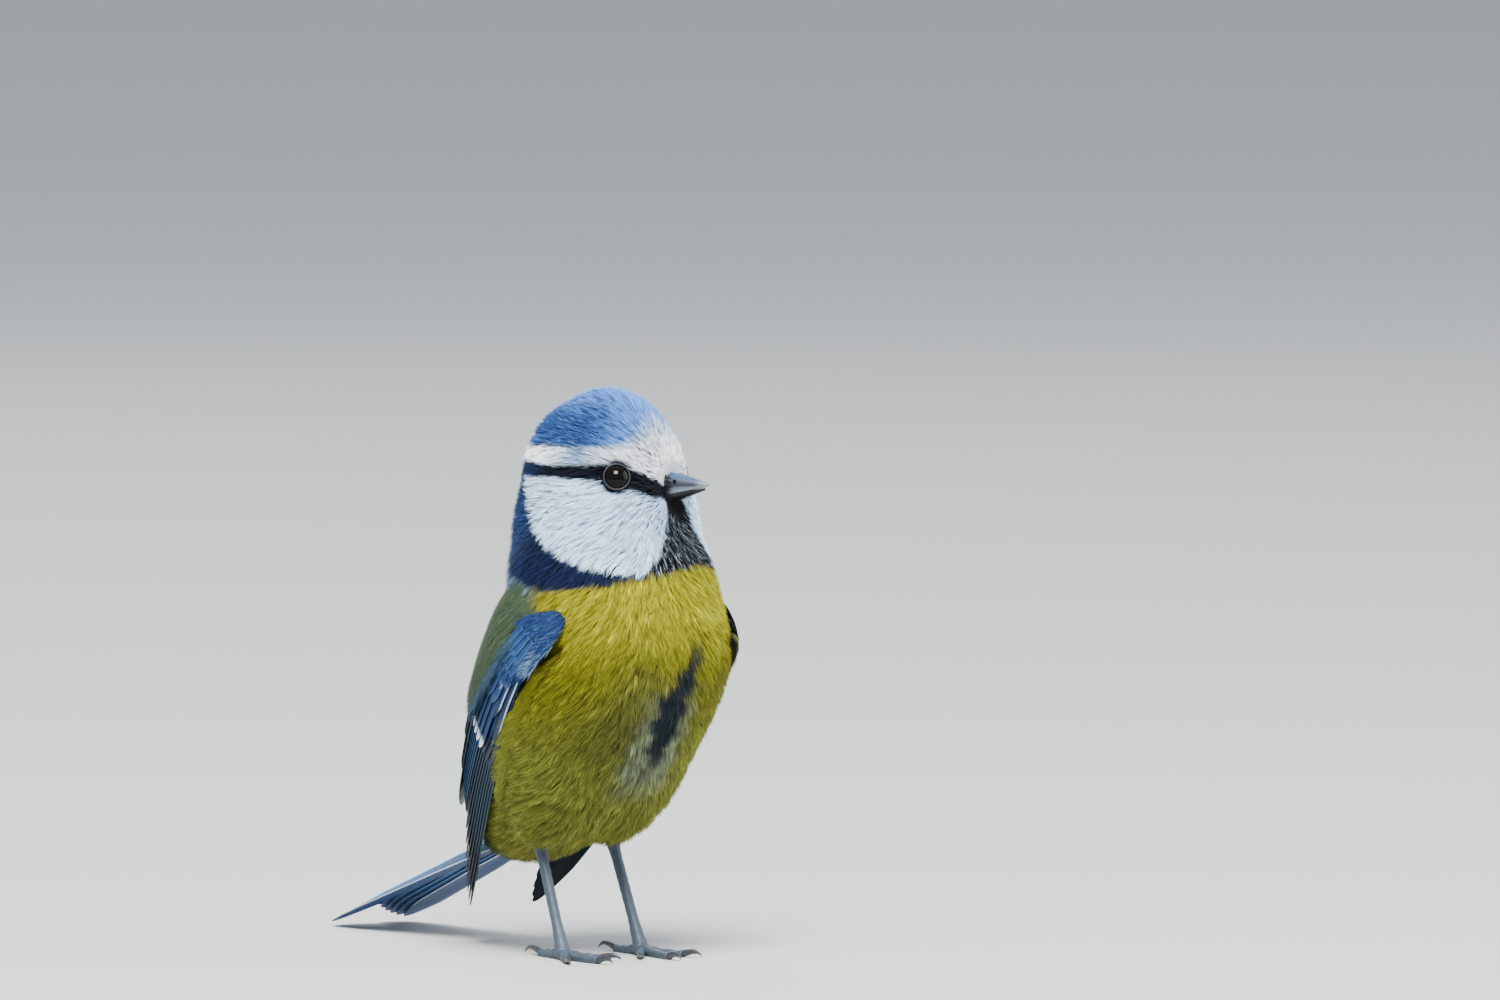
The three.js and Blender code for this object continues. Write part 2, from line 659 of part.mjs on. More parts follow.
// Whole bird
const finishes = {
  crown: { color: 0x6d8fd0, roughness: 0.85 },
  face: { color: 0xdfe5f0, roughness: 0.85 },
  collar: { color: 0x26325e, roughness: 0.85 },
  breast: { color: 0xb9aa35, roughness: 0.9 },
  vent: { color: 0xa5a04e, roughness: 0.9 },
  wing: { color: 0x4a6ea8, roughness: 0.6 },
  tail: { color: 0x46699f, roughness: 0.6 },
  leg: { color: 0x4d5a6c, roughness: 0.55 },
  claw: { color: 0x2f3136, roughness: 0.45 },
  bill: { color: 0x656c78, roughness: 0.45 },
  billUnder: { color: 0x3c3a3f, roughness: 0.45 },
  eye: { color: 0x120d0b, roughness: 0.08 },
};

// Turns a solid into a named mesh; only its largest closed surface stays
function toMesh(name, solid, finish) {
  const pieces = solid.decompose();
  const largest = pieces.reduce((best, piece) => (piece.volume() > best.volume() ? piece : best));
  const data = largest.getMesh();
  const geometry = new THREE.BufferGeometry();
  const positions = new Float32Array(data.vertProperties);
  geometry.setAttribute('position', new THREE.BufferAttribute(positions, 3));
  geometry.setIndex(Array.from(data.triVerts));
  geometry.computeVertexNormals();
  const { color, roughness } = finishes[finish];
  const material = new THREE.MeshStandardMaterial({ color, roughness, metalness: 0 });
  material.name = finish;
  const mesh = new THREE.Mesh(geometry, material);
  mesh.name = name;
  return mesh;
}

function buildBird() {
  const bird = new THREE.Group();
  bird.name = 'blue_tit';
  const eyes = { left: eyeFrame(1), right: eyeFrame(-1) };
  const nostrils = joined([-1, 1].map((side) => {
    const place = headPoint(side * NOSTRIL_PLACE.side, NOSTRIL_PLACE.forward, NOSTRIL_PLACE.up);
    return ball(place, NOSTRIL_RADIUS, 6, 8);
  }));
  const upperBill = billHalf(BILL_UPPER_TIP, culmenHeight, 0, 0).subtract(nostrils);
  const lowerBill = billHalf(BILL_LOWER_TIP, chinHeight, -MOUTH_GAP, 0);
  const billRoom = joined([
    billHalf(BILL_UPPER_TIP, culmenHeight, 0, NODE_GAP),
    billHalf(BILL_LOWER_TIP, chinHeight, -MOUTH_GAP, NODE_GAP),
  ]);
  const rightWing = (s, w, h) => wingPoint(s, w, h);
  const leftWing = (s, w, h) => mirrored(wingPoint(s, w, h));

  const skin = closedGrid(SKIN_ROWS, SKIN_COLUMNS, (row, column) => (
    skinPoint(row / SKIN_ROWS, column / SKIN_COLUMNS)
  ));
  const neckTop = cutNormal(NECK_TOP.tilt);
  const neckBottom = cutNormal(NECK_BOTTOM.tilt);
  const rumpUp = cutNormal(RUMP_CUT.tilt);
  const crownTilt = radians(CROWN_CUT.tilt);
  const crownUp = add(
    scaled(HEAD_FORWARD, -Math.sin(crownTilt)), scaled(UP, Math.cos(crownTilt)),
  );
  const crownPoint = headPoint(...CROWN_CUT.point);

  const aboveNeck = beyond(skin, NECK_TOP.point, neckTop);
  const crown = beyond(aboveNeck, crownPoint, crownUp);
  const sockets = Object.values(eyes).map((eye) => (
    ball(eye.center, EYE_RADIUS + NODE_GAP, 12, 18)
  ));
  const face = joined([
    beyond(aboveNeck, crownPoint, scaled(crownUp, -1)),
    lidRing(eyes.left),
    lidRing(eyes.right),
  ]).subtract(joined([...sockets, billRoom]));
  const neck = beyond(beyond(skin, NECK_TOP.point, scaled(neckTop, -1)), NECK_BOTTOM.point, neckBottom);
  const belowNeck = beyond(skin, NECK_BOTTOM.point, scaled(neckBottom, -1));
  const beds = joined([wingBed(rightWing), wingBed(leftWing)]);
  const torso = beyond(belowNeck, RUMP_CUT.point, rumpUp).subtract(beds);
  const rump = beyond(belowNeck, RUMP_CUT.point, scaled(rumpUp, -1))
    .subtract(joined([beds, tailBed(), legSocket(1), legSocket(-1)]));

  bird.add(toMesh('crown', crown, 'crown'));
  bird.add(toMesh('face', face, 'face'));
  bird.add(toMesh('neck', neck.subtract(beds), 'collar'));
  bird.add(toMesh('torso', torso, 'breast'));
  bird.add(toMesh('rump', rump, 'vent'));
  bird.add(toMesh('bill_upper', upperBill, 'bill'));
  bird.add(toMesh('bill_lower', lowerBill, 'billUnder'));
  bird.add(toMesh('eye_left', ball(eyes.left.center, EYE_RADIUS, 12, 18), 'eye'));
  bird.add(toMesh('eye_right', ball(eyes.right.center, EYE_RADIUS, 12, 18), 'eye'));
  bird.add(toMesh('wing_right', wingSolid(rightWing), 'wing'));
  bird.add(toMesh('wing_left', wingSolid(leftWing), 'wing'));
  bird.add(toMesh('tail', tailSolid(), 'tail'));
  for (const [side, sign] of [['left', 1], ['right', -1]]) {
    bird.add(toMesh(`leg_${side}`, legSolid(sign), 'leg'));
    for (const toe of TOES) {
      bird.add(toMesh(`claw_${toe.name}_${side}`, clawSolid(toe, sign), 'claw'));
    }
  }

  const bounds = new THREE.Box3().setFromObject(bird);
  const middle = bounds.getCenter(new THREE.Vector3());
  bird.position.set(-middle.x, -middle.y, -bounds.min.z);
  bird.updateMatrixWorld(true);
  return bird;
}

export default buildBird();
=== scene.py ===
# %% [markdown]
# # A life-size blue tit
#
# This script dresses a small standing bird. The solid model gives the places, and each
# cell below makes one part of the bird's looks: skin, coat, eyes, bill, wings, tail and feet.
# Lengths inside the script are millimetres until a mesh is written, which is in metres.

# %% Start with the solid model
import math

import bpy
import numpy as np
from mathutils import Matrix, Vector


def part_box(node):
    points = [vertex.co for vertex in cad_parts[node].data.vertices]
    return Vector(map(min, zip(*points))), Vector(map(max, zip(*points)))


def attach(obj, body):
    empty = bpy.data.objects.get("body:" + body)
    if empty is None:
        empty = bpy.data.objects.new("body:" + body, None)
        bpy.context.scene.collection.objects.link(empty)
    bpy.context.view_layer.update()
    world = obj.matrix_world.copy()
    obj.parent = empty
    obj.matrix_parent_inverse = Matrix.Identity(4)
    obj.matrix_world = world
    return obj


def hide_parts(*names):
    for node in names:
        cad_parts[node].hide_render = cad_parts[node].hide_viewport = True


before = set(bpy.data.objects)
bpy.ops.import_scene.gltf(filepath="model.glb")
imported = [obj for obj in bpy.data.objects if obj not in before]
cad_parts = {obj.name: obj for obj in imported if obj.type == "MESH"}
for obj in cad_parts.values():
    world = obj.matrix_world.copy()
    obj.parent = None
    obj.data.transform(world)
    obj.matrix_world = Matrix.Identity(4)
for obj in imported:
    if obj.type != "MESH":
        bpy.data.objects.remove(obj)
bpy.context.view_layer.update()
MM = 0.001
random = np.random.default_rng(7)
print("solid nodes:", len(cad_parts))

# %% [markdown]
# ## Directions
#
# The bird faces -Y, its left side is +X and up is +Z. Its head is turned to its left, so
# the head has directions of its own: to its left, forward and up from the head's centre.

# %% Directions of the head and body
HEAD_TURN = math.radians(27)
HEAD_CENTER = np.array([0.0, -0.5, 71.0])
HEAD_FORWARD = np.array([math.sin(HEAD_TURN), -math.cos(HEAD_TURN), 0.0])
HEAD_SIDE = np.array([math.cos(HEAD_TURN), math.sin(HEAD_TURN), 0.0])
UP = np.array([0.0, 0.0, 1.0])


def unit(vectors):
    """Vectors scaled to length one."""
    return vectors / np.maximum(np.linalg.norm(vectors, axis=-1, keepdims=True), 1e-9)


def smooth(value, low, high):
    """0 below low, 1 above high, and 3t^2 - 2t^3 between."""
    t = np.clip((value - low) / (high - low), 0, 1)
    return t * t * (3 - 2 * t)


def mix(a, b, t):
    """a at t = 0, b at t = 1."""
    return a + (b - a) * t


def head_point(side, forward, up):
    """Places given in the head's own directions."""
    parts = (np.multiply.outer(side, HEAD_SIDE), np.multiply.outer(forward, HEAD_FORWARD))
    return HEAD_CENTER + parts[0] + parts[1] + np.multiply.outer(up, UP)


def in_head(points):
    """Side, forward and up of points, from the head's centre."""
    away = points - HEAD_CENTER
    return away @ HEAD_SIDE, away @ HEAD_FORWARD, away[..., 2]


# %% [markdown]
# ## The outline of the plumage
#
# The whole body is a sum of tilted eggs. Each has a centre, three radii (sideways, along
# and toward its back) and a tilt of its long axis. For a point at q in the egg's own
# directions, a = |q / r| and b = |q / r^2| give a near distance a (a - 1) / b. The eggs are
# joined one after another by a soft minimum, so that no crease is left between them.

# %% The eggs of the body and head


def egg_axes(elevation, forward, side):
    """Rows: sideways, along the tilted long axis, toward the back of the egg."""
    c = math.cos(math.radians(elevation))
    s = math.sin(math.radians(elevation))
    return np.array([side, forward * c + UP * s, -forward * s + UP * c])


def body_form(center, radii, elevation, blend):
    """An egg placed in the frame's directions."""
    forward = np.array([0.0, -1.0, 0.0])
    side = np.array([1.0, 0.0, 0.0])
    return np.array(center, float), np.array(radii), egg_axes(elevation, forward, side), blend


def head_form(place, radii, elevation, blend):
    """An egg placed in the head's directions."""
    return head_point(*place), np.array(radii), egg_axes(elevation, HEAD_FORWARD, HEAD_SIDE), blend


FORMS = [
    body_form((0, 1.6, 42.5), (18.0, 25.5, 16.2), 65, 5),
    body_form((0, -3.5, 46.5), (16.3, 14.5, 13.6), 62, 5),
    body_form((0, -1.2, 58.5), (14.6, 12.2, 13.0), 80, 5),
    body_form((0, 12.5, 28.0), (11.5, 15.5, 9.5), 48, 6),
    body_form((0, 19.5, 21.0), (8.0, 11.0, 6.0), 30, 5),
    body_form((-6.8, 3.5, 27.5), (5.8, 8.5, 6.5), 62, 4),
    body_form((6.8, 3.5, 27.5), (5.8, 8.5, 6.5), 62, 4),
    body_form((-6.6, 6.2, 21.8), (3.4, 6.4, 3.6), 50, 3),
    body_form((6.6, 6.2, 21.8), (3.4, 6.4, 3.6), 50, 3),
    body_form((0, 6.3, 65.5), (10.5, 9.0, 7.0), 85, 4),
    head_form((0, 0.2, 0.6), (11.6, 11.6, 11.3), 0, 4),
    head_form((0, -0.6, 4.8), (9.6, 9.6, 10.6), -12, 4),
    head_form((-4.3, 2.6, -4.5), (7.6, 8.4, 7.5), 10, 4),
    head_form((4.3, 2.6, -4.5), (7.6, 8.4, 7.5), 10, 4),
    head_form((0, 7.4, 0.6), (4.6, 6.0, 4.6), 0, 3),
]


def outline_distance(points):
    """Distance of points from the outline of the plumage, below zero inside."""
    distance = None
    for center, radii, axes, blend in FORMS:
        q = (points - center) @ axes.T
        a = np.linalg.norm(q / radii, axis=-1)
        b = np.linalg.norm(q / radii**2, axis=-1)
        value = a * (a - 1) / np.maximum(b, 1e-9)
        if distance is None:
            distance = value
            continue
        share = np.clip(0.5 + 0.5 * (distance - value) / blend, 0, 1)
        distance = mix(distance, value, share) - blend * share * (1 - share)
    return distance


def outward(points, distance=None):
    """Unit direction in which the distance grows, by small steps of 0.05 mm."""
    here = outline_distance(points) if distance is None else distance
    step = 0.05
    slopes = [outline_distance(points + step * axis) - here for axis in np.eye(3)]
    return unit(np.stack(slopes, axis=-1))


print("eggs:", len(FORMS))

# %% [markdown]
# ## A grid over the body
#
# A bent centre line runs from the head to the root of the tail. Row u of the grid looks out
# from it: a round cap over the crown, rings round the body, and a cap over the tail root.
# Column v goes round. Each ray stops where it last crosses the outline.

# %% Cast the grid onto the outline
SPINE = np.array([
    [0, -1, 72],
    [0, -1.5, 60],
    [0, 0.5, 47],
    [0, 4, 37],
    [0, 11, 28],
    [0, 19, 21.5],
], float)
CROWN_SHARE = 0.22
TAIL_SHARE = 0.12
CAST_REACH = 45.0
CAST_STEP = 0.75


def spine_point(t):
    """A smooth curve through the points of the spine (Catmull-Rom), t from 0 to 1."""
    last = len(SPINE) - 1
    x = np.clip(t, 0, 1) * last
    i = np.minimum(x.astype(int), last - 1)
    f = (x - i)[..., None]
    p0, p1, p2, p3 = (SPINE[np.clip(i + k, 0, last)] for k in (-1, 0, 1, 2))
    cubic = 3 * p1 - p0 - 3 * p2 + p3
    return 0.5 * (2 * p1 + (p2 - p0) * f + (2 * p0 - 5 * p1 + 4 * p2 - p3) * f**2 + cubic * f**3)


def spine_share(u):
    """Share of the way along the spine at row u: 0 over the whole crown, 1 over the tail cap."""
    return np.clip((u - CROWN_SHARE) / (1 - CROWN_SHARE - TAIL_SHARE), 0, 1)


def cast_from(start, direction):
    """Distance along each ray to its outermost crossing of the outline."""
    low = np.zeros(start.shape[:-1])
    found = np.zeros(start.shape[:-1], bool)
    for reach in np.arange(CAST_REACH, 0, -CAST_STEP):
        inside = outline_distance(start + direction * reach) < 0
        low = np.where(inside & ~found, reach, low)
        found |= inside
    high = low + CAST_STEP
    for _ in range(12):
        middle = (low + high) / 2
        inside = outline_distance(start + direction * middle[..., None]) < 0
        low = np.where(inside, middle, low)
        high = np.where(inside, high, middle)
    return (low + high) / 2


def body_point(u, v):
    """Places on the outline for rows u (0 crown, 1 tail root) and columns v (0 to 1 round)."""
    crown = np.clip(u / CROWN_SHARE, 0, 1)
    tail = np.clip((u - 1 + TAIL_SHARE) / TAIL_SHARE, 0, 1)
    theta = math.pi / 2 * (crown + tail)
    t = spine_share(u)
    start = spine_point(t)
    down = unit(spine_point(t + 1e-3) - spine_point(t - 1e-3))
    side = np.broadcast_to([1.0, 0.0, 0.0], down.shape)
    back = np.cross(down, side)
    phi = 2 * math.pi * v[..., None]
    ring = np.cos(phi) * side + np.sin(phi) * back
    direction = unit(-np.cos(theta)[..., None] * down + np.sin(theta)[..., None] * ring)
    return start + direction * cast_from(start, direction)[..., None]


ROWS = 200
COLUMNS = 220
POLE_GAP = 0.0015
row_shares = np.linspace(POLE_GAP, 1 - POLE_GAP, ROWS)
grid_u, grid_v = np.meshgrid(row_shares, np.arange(COLUMNS) / COLUMNS, indexing="ij")
outline = body_point(grid_u, grid_v)
outline_out = outward(outline)
print("outline from", outline.min(axis=(0, 1)).round(1), "to", outline.max(axis=(0, 1)).round(1))

# %% [markdown]
# ## The eyes' places, and the shift to the solid model
#
# A ray from the middle of the head finds where each eye looks out. The solid model's own
# eye gives the shift between this script's millimetres and the shared frame.

# %% Eyes' places
EYE_RADIUS = 2.2
EYE_OPENING = 1.82
EYE_SIDE, EYE_FORWARD, EYE_UP = 9.3, 6.9, 2.9


def eye_frame(sign):
    """Surface point, outward direction and centre of the eye on one side."""
    target = head_point(EYE_SIDE * sign, EYE_FORWARD, EYE_UP)
    start = head_point(0.0, 2.0, EYE_UP)
    direction = unit(target - start)
    surface = start + direction * cast_from(start[None], direction[None])[0]
    out = outward(surface[None])[0]
    depth = math.sqrt(EYE_RADIUS**2 - EYE_OPENING**2)
    return surface, out, surface - out * depth


EYES = {"left": eye_frame(1), "right": eye_frame(-1)}
low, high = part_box("eye_left")
eye_middle = (np.array(low) + np.array(high)) / 2 / MM
SHIFT = eye_middle - EYES["left"][2]
SHIFT[2] = 0.0
print("shift to the solid model, mm:", SHIFT.round(2))

# %% [markdown]
# ## The wings' frame
#
# Each folded wing is laid out in three numbers: s along it from the bend, w across it
# toward the back, and h out from it. The sheet curves round the flank across, and bulges
# lengthwise as B sin(pi t^0.65), and dips at the bend.

# %% Wing and tail frames
WING_BEND = np.array([-17.45, -9.45, 50.0])
WING_ALONG = np.array([0.145, 0.614, -0.775])
WING_OUT = np.array([-0.933, 0.345, 0.099])
WING_ACROSS = np.cross(WING_ALONG, WING_OUT)
WING_ACROSS = WING_ACROSS * np.sign(WING_ACROSS[2])
WING_CROWN = 8.1
WING_CURVE_RADIUS = 17.0
BULGE_HEIGHT = 4.4
BULGE_LENGTH = 66.0
BULGE_SKEW = 0.65
BEND_DIP = 3.0
BEND_DIP_LENGTH = 12.0
TAIL_ROOT = np.array([0.0, 21.5, 18.6])
TAIL_DROOP = math.radians(19)
TAIL_LENGTH = 50.0


def wing_sheet(s, w):
    """Height of the curved sheet of the wing over its flat frame."""
    t = np.clip((s + 4) / BULGE_LENGTH, 0, 1)
    dip = BEND_DIP * (1 - np.clip((s + 4) / BEND_DIP_LENGTH, 0, 1)) ** 2
    bulge = BULGE_HEIGHT * np.sin(math.pi * t**BULGE_SKEW) - dip
    return bulge - (w - WING_CROWN) ** 2 / (2 * WING_CURVE_RADIUS)


def wing_point(s, w, h):
    """Place of (s, w, h) on the right wing."""
    lift = h + wing_sheet(s, w)
    parts = s[..., None] * WING_ALONG + w[..., None] * WING_ACROSS
    return WING_BEND + parts + lift[..., None] * WING_OUT


def in_wing(points):
    """s, w and h of points, taken over to the right side."""
    right = points.copy()
    right[..., 0] = -np.abs(right[..., 0])
    away = right - WING_BEND
    s = away @ WING_ALONG
    w = away @ WING_ACROSS
    return s, w, away @ WING_OUT - wing_sheet(s, w)


def tail_point(s, w, h):
    """Place of (s, w, h) on the tail, s from its root, w to the left and h over it."""
    along = np.array([0.0, math.cos(TAIL_DROOP), -math.sin(TAIL_DROOP)])
    over = np.array([0.0, math.sin(TAIL_DROOP), math.cos(TAIL_DROOP)])
    side = np.array([1.0, 0.0, 0.0])
    return TAIL_ROOT + s[..., None] * along + w[..., None] * side + h[..., None] * over


# s of places along the wing, and w of its front and rear edges there
WING_FRONT = ([-4, 30, 45, 60], [-1.6, -1.2, 1.2, 3.0])
WING_REAR = ([-4, 10, 36, 46, 60], [12.5, 14.5, 14.5, 12.0, 8.0])


def under_wing(points):
    """1 where the folded wing covers the body, 0 outside, with a soft edge."""
    s, w, _ = in_wing(points)
    front = smooth(w - np.interp(s, *WING_FRONT), -0.8, 0.8)
    rear = smooth(np.interp(s, *WING_REAR) - w, -0.8, 0.8)
    return front * rear * smooth(s, -4.0, -0.5) * (1 - smooth(s, 58, 62))


# %% [markdown]
# ## Mesh helpers
#
# Arrays become meshes in one step. A lattice is a tube of rings, closed by a flat face at
# each end; a vane, a toe and a bill are all lattices.

# %% Mesh helpers


def to_linear(code):
    """A colour written as six hex digits, in linear light."""
    values = np.array([int(code[i:i + 2], 16) for i in (0, 2, 4)]) / 255
    return np.where(values <= 0.04045, values / 12.92, ((values + 0.055) / 1.055) ** 2.4)


def make_mesh(name, points, faces, material, tint=None, patch=None):
    """One object from points in millimetres and lists of faces, each an array of corners."""
    mesh = bpy.data.meshes.new(name)
    sizes = np.concatenate([np.full(len(group), group.shape[1]) for group in faces])
    corners = np.concatenate([group.reshape(-1) for group in faces]).astype(np.int32)
    starts = np.concatenate([[0], np.cumsum(sizes)[:-1]]).astype(np.int32)
    mesh.vertices.add(len(points))
    mesh.vertices.foreach_set("co", ((points + SHIFT) * MM).astype(np.float32).ravel())
    mesh.loops.add(len(corners))
    mesh.loops.foreach_set("vertex_index", corners)
    mesh.polygons.add(len(sizes))
    mesh.polygons.foreach_set("loop_start", starts)
    mesh.polygons.foreach_set("use_smooth", np.ones(len(sizes), bool))
    if tint is not None:
        colors = mesh.color_attributes.new("tint", "FLOAT_COLOR", "POINT")
        rgba = np.concatenate([tint, np.ones((len(tint), 1))], axis=1)
        colors.data.foreach_set("color", rgba.astype(np.float32).ravel())
    if patch is not None:
        places = mesh.uv_layers.new(name="OFBake")
        places.data.foreach_set("uv", patch[corners].astype(np.float32).ravel())
    mesh.update()
    mesh.validate()
    mesh.materials.append(material)
    piece = bpy.data.objects.new(name, mesh)
    bpy.context.scene.collection.objects.link(piece)
    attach(piece, "root")
    return piece


def lattice_faces(rings, columns, offset=0):
    """Faces of a closed tube of rings: quads round it and one flat face at each end."""
    row, column = np.meshgrid(np.arange(rings - 1), np.arange(columns), indexing="ij")
    here = offset + row * columns + column
    beside = offset + row * columns + (column + 1) % columns
    quads = np.stack([here, beside, beside + columns, here + columns], axis=-1).reshape(-1, 4)
    first = offset + np.arange(columns)[::-1]
    last = offset + (rings - 1) * columns + np.arange(columns)
    return quads, np.stack([first, last])


def join_lattices(lattices):
    """Points and faces of many lattices (arrays of rings x columns x 3) as one mesh."""
    points = []
    groups = {}
    offset = 0
    for lattice in lattices:
        rings, columns = lattice.shape[:2]
        for faces in lattice_faces(rings, columns, offset):
            groups.setdefault(faces.shape[1], []).append(faces)
        points.append(lattice.reshape(-1, 3))
        offset += rings * columns
    return np.concatenate(points), [np.concatenate(group) for group in groups.values()]


# %% [markdown]
# ## Markings
#
# The pattern is a set of lines on the head, each a height above the head's centre as a
# function of the angle from the bill (0) round to the nape (180). The body's colours turn
# from yellow in front to olive green on the back, with a dark line down the belly. The
# lines are pairs of lists: the angles, and the heights at them, in millimetres.

# %% Colours of the plumage
PLUMAGE = {
    "cap": "1a325f",
    # The paler blue below is the cap's own toward the forehead, and also painted light over the top of the
    # crown.
    "cap_pale_and_painted_light": "6398ea",
    "white": "c2dfff",
    "forehead": "f2f8fd",
    "band": "7895b7",
    "stripe": "070c17",
    "stripe_rear": "1a2b4b",
    "collar": "0c1632",
    "collar_light": "2e4979",
    "bib": "070a0f",
    "bib_fleck": "a9b7c4",
    "nape": "52677d",
    "mantle": "394833",
    "yellow": "5f5e0f",
    "yellow_bright": "8d8814",
    "olive": "686d2a",
    "belly_shade": "464924",
    "belly_line": "0c1424",
    "belly_pale": "757e6f",
    "vent": "6c6b2a",
    "rump": "515d2f",
}
PLUMAGE = {name: to_linear(code) for name, code in PLUMAGE.items()}
CAP_EDGE = ([0, 20, 45, 61, 108, 140, 180], [9.8, 8.8, 6.8, 6.6, 6.8, 6.4, 6.2])
STRIPE_TOP = ([0, 13, 32, 45, 60, 75, 126, 150, 180], [0.6, 1.3, 3.2, 3.9, 4.5, 4.6, 4.3, 4.6, 4.8])
STRIPE_FOOT = ([0, 16, 30, 46, 60, 75, 100, 126, 180], [-1.0, -0.8, -0.2, 0.8, 1.5, 2.2, 2.5, 2.3, 1.8])
CHEEK_REAR = ([-12.2, -11.6, -11.0, -9.3, -6.9, -4.2, -1.3, 2.4], [40, 56, 71, 90, 111, 127, 136, 140])
CHEEK_FRONT = ([-12.0, -11.3, -8.9, -5.3, -2.3, 0.0], [40, 36, 27, 17, 14, 11])
COLLAR_FOOT = ([0, 36, 65, 96, 121, 150, 180], [-10.8, -12.1, -13.4, -14.4, -12.6, -11.0, -10.4])
EYE_PATCH = (2.5, 3.1)
BELLY_LINE_X = 1.3
BELLY_LINE_LEAN = 0.45


def layer(base, color, share):
    """A colour laid over a base: 0 leaves the base, 1 covers it."""
    return base * (1 - share[..., None]) + color * share[..., None]


def body_color(points):
    """Yellow in front, olive below, green on the back, and the dark line down the belly."""
    x, y, z = points[..., 0], points[..., 1], points[..., 2]
    axis = spine_point(np.clip((72 - z) / 50, 0, 1))
    around = np.degrees(np.arctan2(np.abs(x), axis[..., 1] - y))
    color = np.broadcast_to(PLUMAGE["yellow"], points.shape).copy()
    upper = smooth(z, 43, 56) * (1 - smooth(around, 35, 95))
    color = layer(color, PLUMAGE["yellow_bright"], upper * 0.85)
    color = layer(color, PLUMAGE["olive"], (1 - smooth(z, 28, 46)) * 0.85)
    shade = np.exp(-((x + 4.0) / 5.0) ** 2 - ((z - 38) / 9.0) ** 2)
    color = layer(color, PLUMAGE["belly_shade"], shade * (1 - smooth(around, 60, 90)) * 0.75)
    color = layer(color, PLUMAGE["vent"], (1 - smooth(z, 15.5, 23)) * 0.9)
    back = smooth(around, 98, 112)
    color = layer(color, PLUMAGE["mantle"], back)
    color = layer(color, PLUMAGE["rump"], back * (1 - smooth(z, 24, 34)) * 0.7)
    ragged = 0.5 * np.sin(z * 1.7) + 0.35 * np.sin(z * 4.1 + 1)
    away = np.abs(x - (BELLY_LINE_X + BELLY_LINE_LEAN * np.maximum(z - 41, 0)) + ragged)
    front = 1 - smooth(around, 60, 80)
    pale = front * smooth(z, 24, 31) * (1 - smooth(z, 36, 45)) * (1 - smooth(away, 2.4, 5.6))
    color = layer(color, PLUMAGE["belly_pale"], pale * 0.6)
    half = mix(0.8, 2.3, np.exp(-(((z - 39.0) / 5.5) ** 2)))
    height = smooth(z, 27, 34) * (1 - smooth(z, 46, 52))
    line = front * height * (1 - smooth(away, half - 0.5, half + 1.0))
    return layer(color, PLUMAGE["belly_line"], line * 0.95)


def plumage_color(points, fleck=0.0):
    """Colour of the coat at points, in linear light; fleck, 0 to 1, speckles the bib."""
    side, forward, up = in_head(points)
    fleck = np.broadcast_to(fleck, up.shape)
    angle = np.degrees(np.arctan2(np.abs(side), forward))
    color = body_color(points)
    nape = smooth(angle, 96, 112) * smooth(up, -17.5, -14) * (1 - smooth(up, -12.5, -10.5))
    color = layer(color, PLUMAGE["nape"], nape * 0.9)
    collar_foot = np.interp(angle, *COLLAR_FOOT)
    on_head = smooth(up, collar_foot - 0.35, collar_foot + 0.35)
    color = layer(color, PLUMAGE["collar"], on_head)
    color = layer(color, PLUMAGE["collar_light"], on_head * smooth(angle, 105, 150) * fleck * 0.7)
    bib = on_head * (1 - smooth(angle, 30, 44)) * (1 - smooth(up, -0.4, 0.2))
    color = layer(color, PLUMAGE["bib"], bib)
    color = layer(color, PLUMAGE["bib_fleck"], bib * smooth(fleck, 0.86, 0.92) * 0.85)
    rear = np.interp(up, *CHEEK_REAR)
    front = np.interp(up, *CHEEK_FRONT)
    cheek = smooth(rear - angle, -1.5, 1.5) * smooth(angle - front, -1.5, 1.5)
    cheek = cheek * smooth(up, -12.3, -11.7) * (1 - smooth(up, 3.2, 3.6))
    color = layer(color, PLUMAGE["white"], cheek * on_head)
    stripe_top = np.interp(angle, *STRIPE_TOP)
    stripe_foot = np.interp(angle, *STRIPE_FOOT)
    stripe = smooth(up, stripe_foot - 0.25, stripe_foot + 0.25)
    color = layer(color, PLUMAGE["stripe"], stripe)
    color = layer(color, PLUMAGE["stripe_rear"], stripe * smooth(angle, 105, 140) * 0.7)
    band = smooth(up, stripe_top - 0.25, stripe_top + 0.25)
    color = layer(color, PLUMAGE["forehead"], band)
    dull = np.exp(-((angle - 85) / 22) ** 2)
    color = layer(color, PLUMAGE["band"], band * dull)
    fade = mix(2.3, 0.45, smooth(angle, 22, 58))
    edge = np.interp(angle, *CAP_EDGE)
    cap = smooth(up, edge - fade, edge + fade)
    # Paler blue toward the forehead is the cap's own colour; lighter over the top of the crown is painted
    # light from the sky.
    light = smooth(up, 10.0, 15.0) * 0.5 + smooth(forward, 1.0, 9.0) * 0.85
    light = np.clip(light + (fleck - 0.5) * 0.5, 0, 1)
    blue = layer(np.broadcast_to(PLUMAGE["cap"], points.shape), PLUMAGE["cap_pale_and_painted_light"], light)
    color = layer(color, blue, cap)
    for surface, _, _ in EYES.values():
        by_eye = 1 - smooth(np.linalg.norm(points - surface, axis=-1), *EYE_PATCH)
        color = layer(color, PLUMAGE["stripe"], by_eye)
    return color


# %% [markdown]
# ## Materials
#
# Every plumage material takes its colour from the tint stored in the mesh. A fine noise in
# object space varies it. Horn, scaled skin and the eye have their own short functions.

# %% Materials


def add_node(material, kind, links=(), **values):
    """Adds a node, sets its inputs by name, and links (output, input name) pairs into it."""
    node = material.node_tree.nodes.new(kind)
    for name, value in values.items():
        setattr(node, name, value)
    for output, name in links:
        material.node_tree.links.new(output, node.inputs[name])
    return node


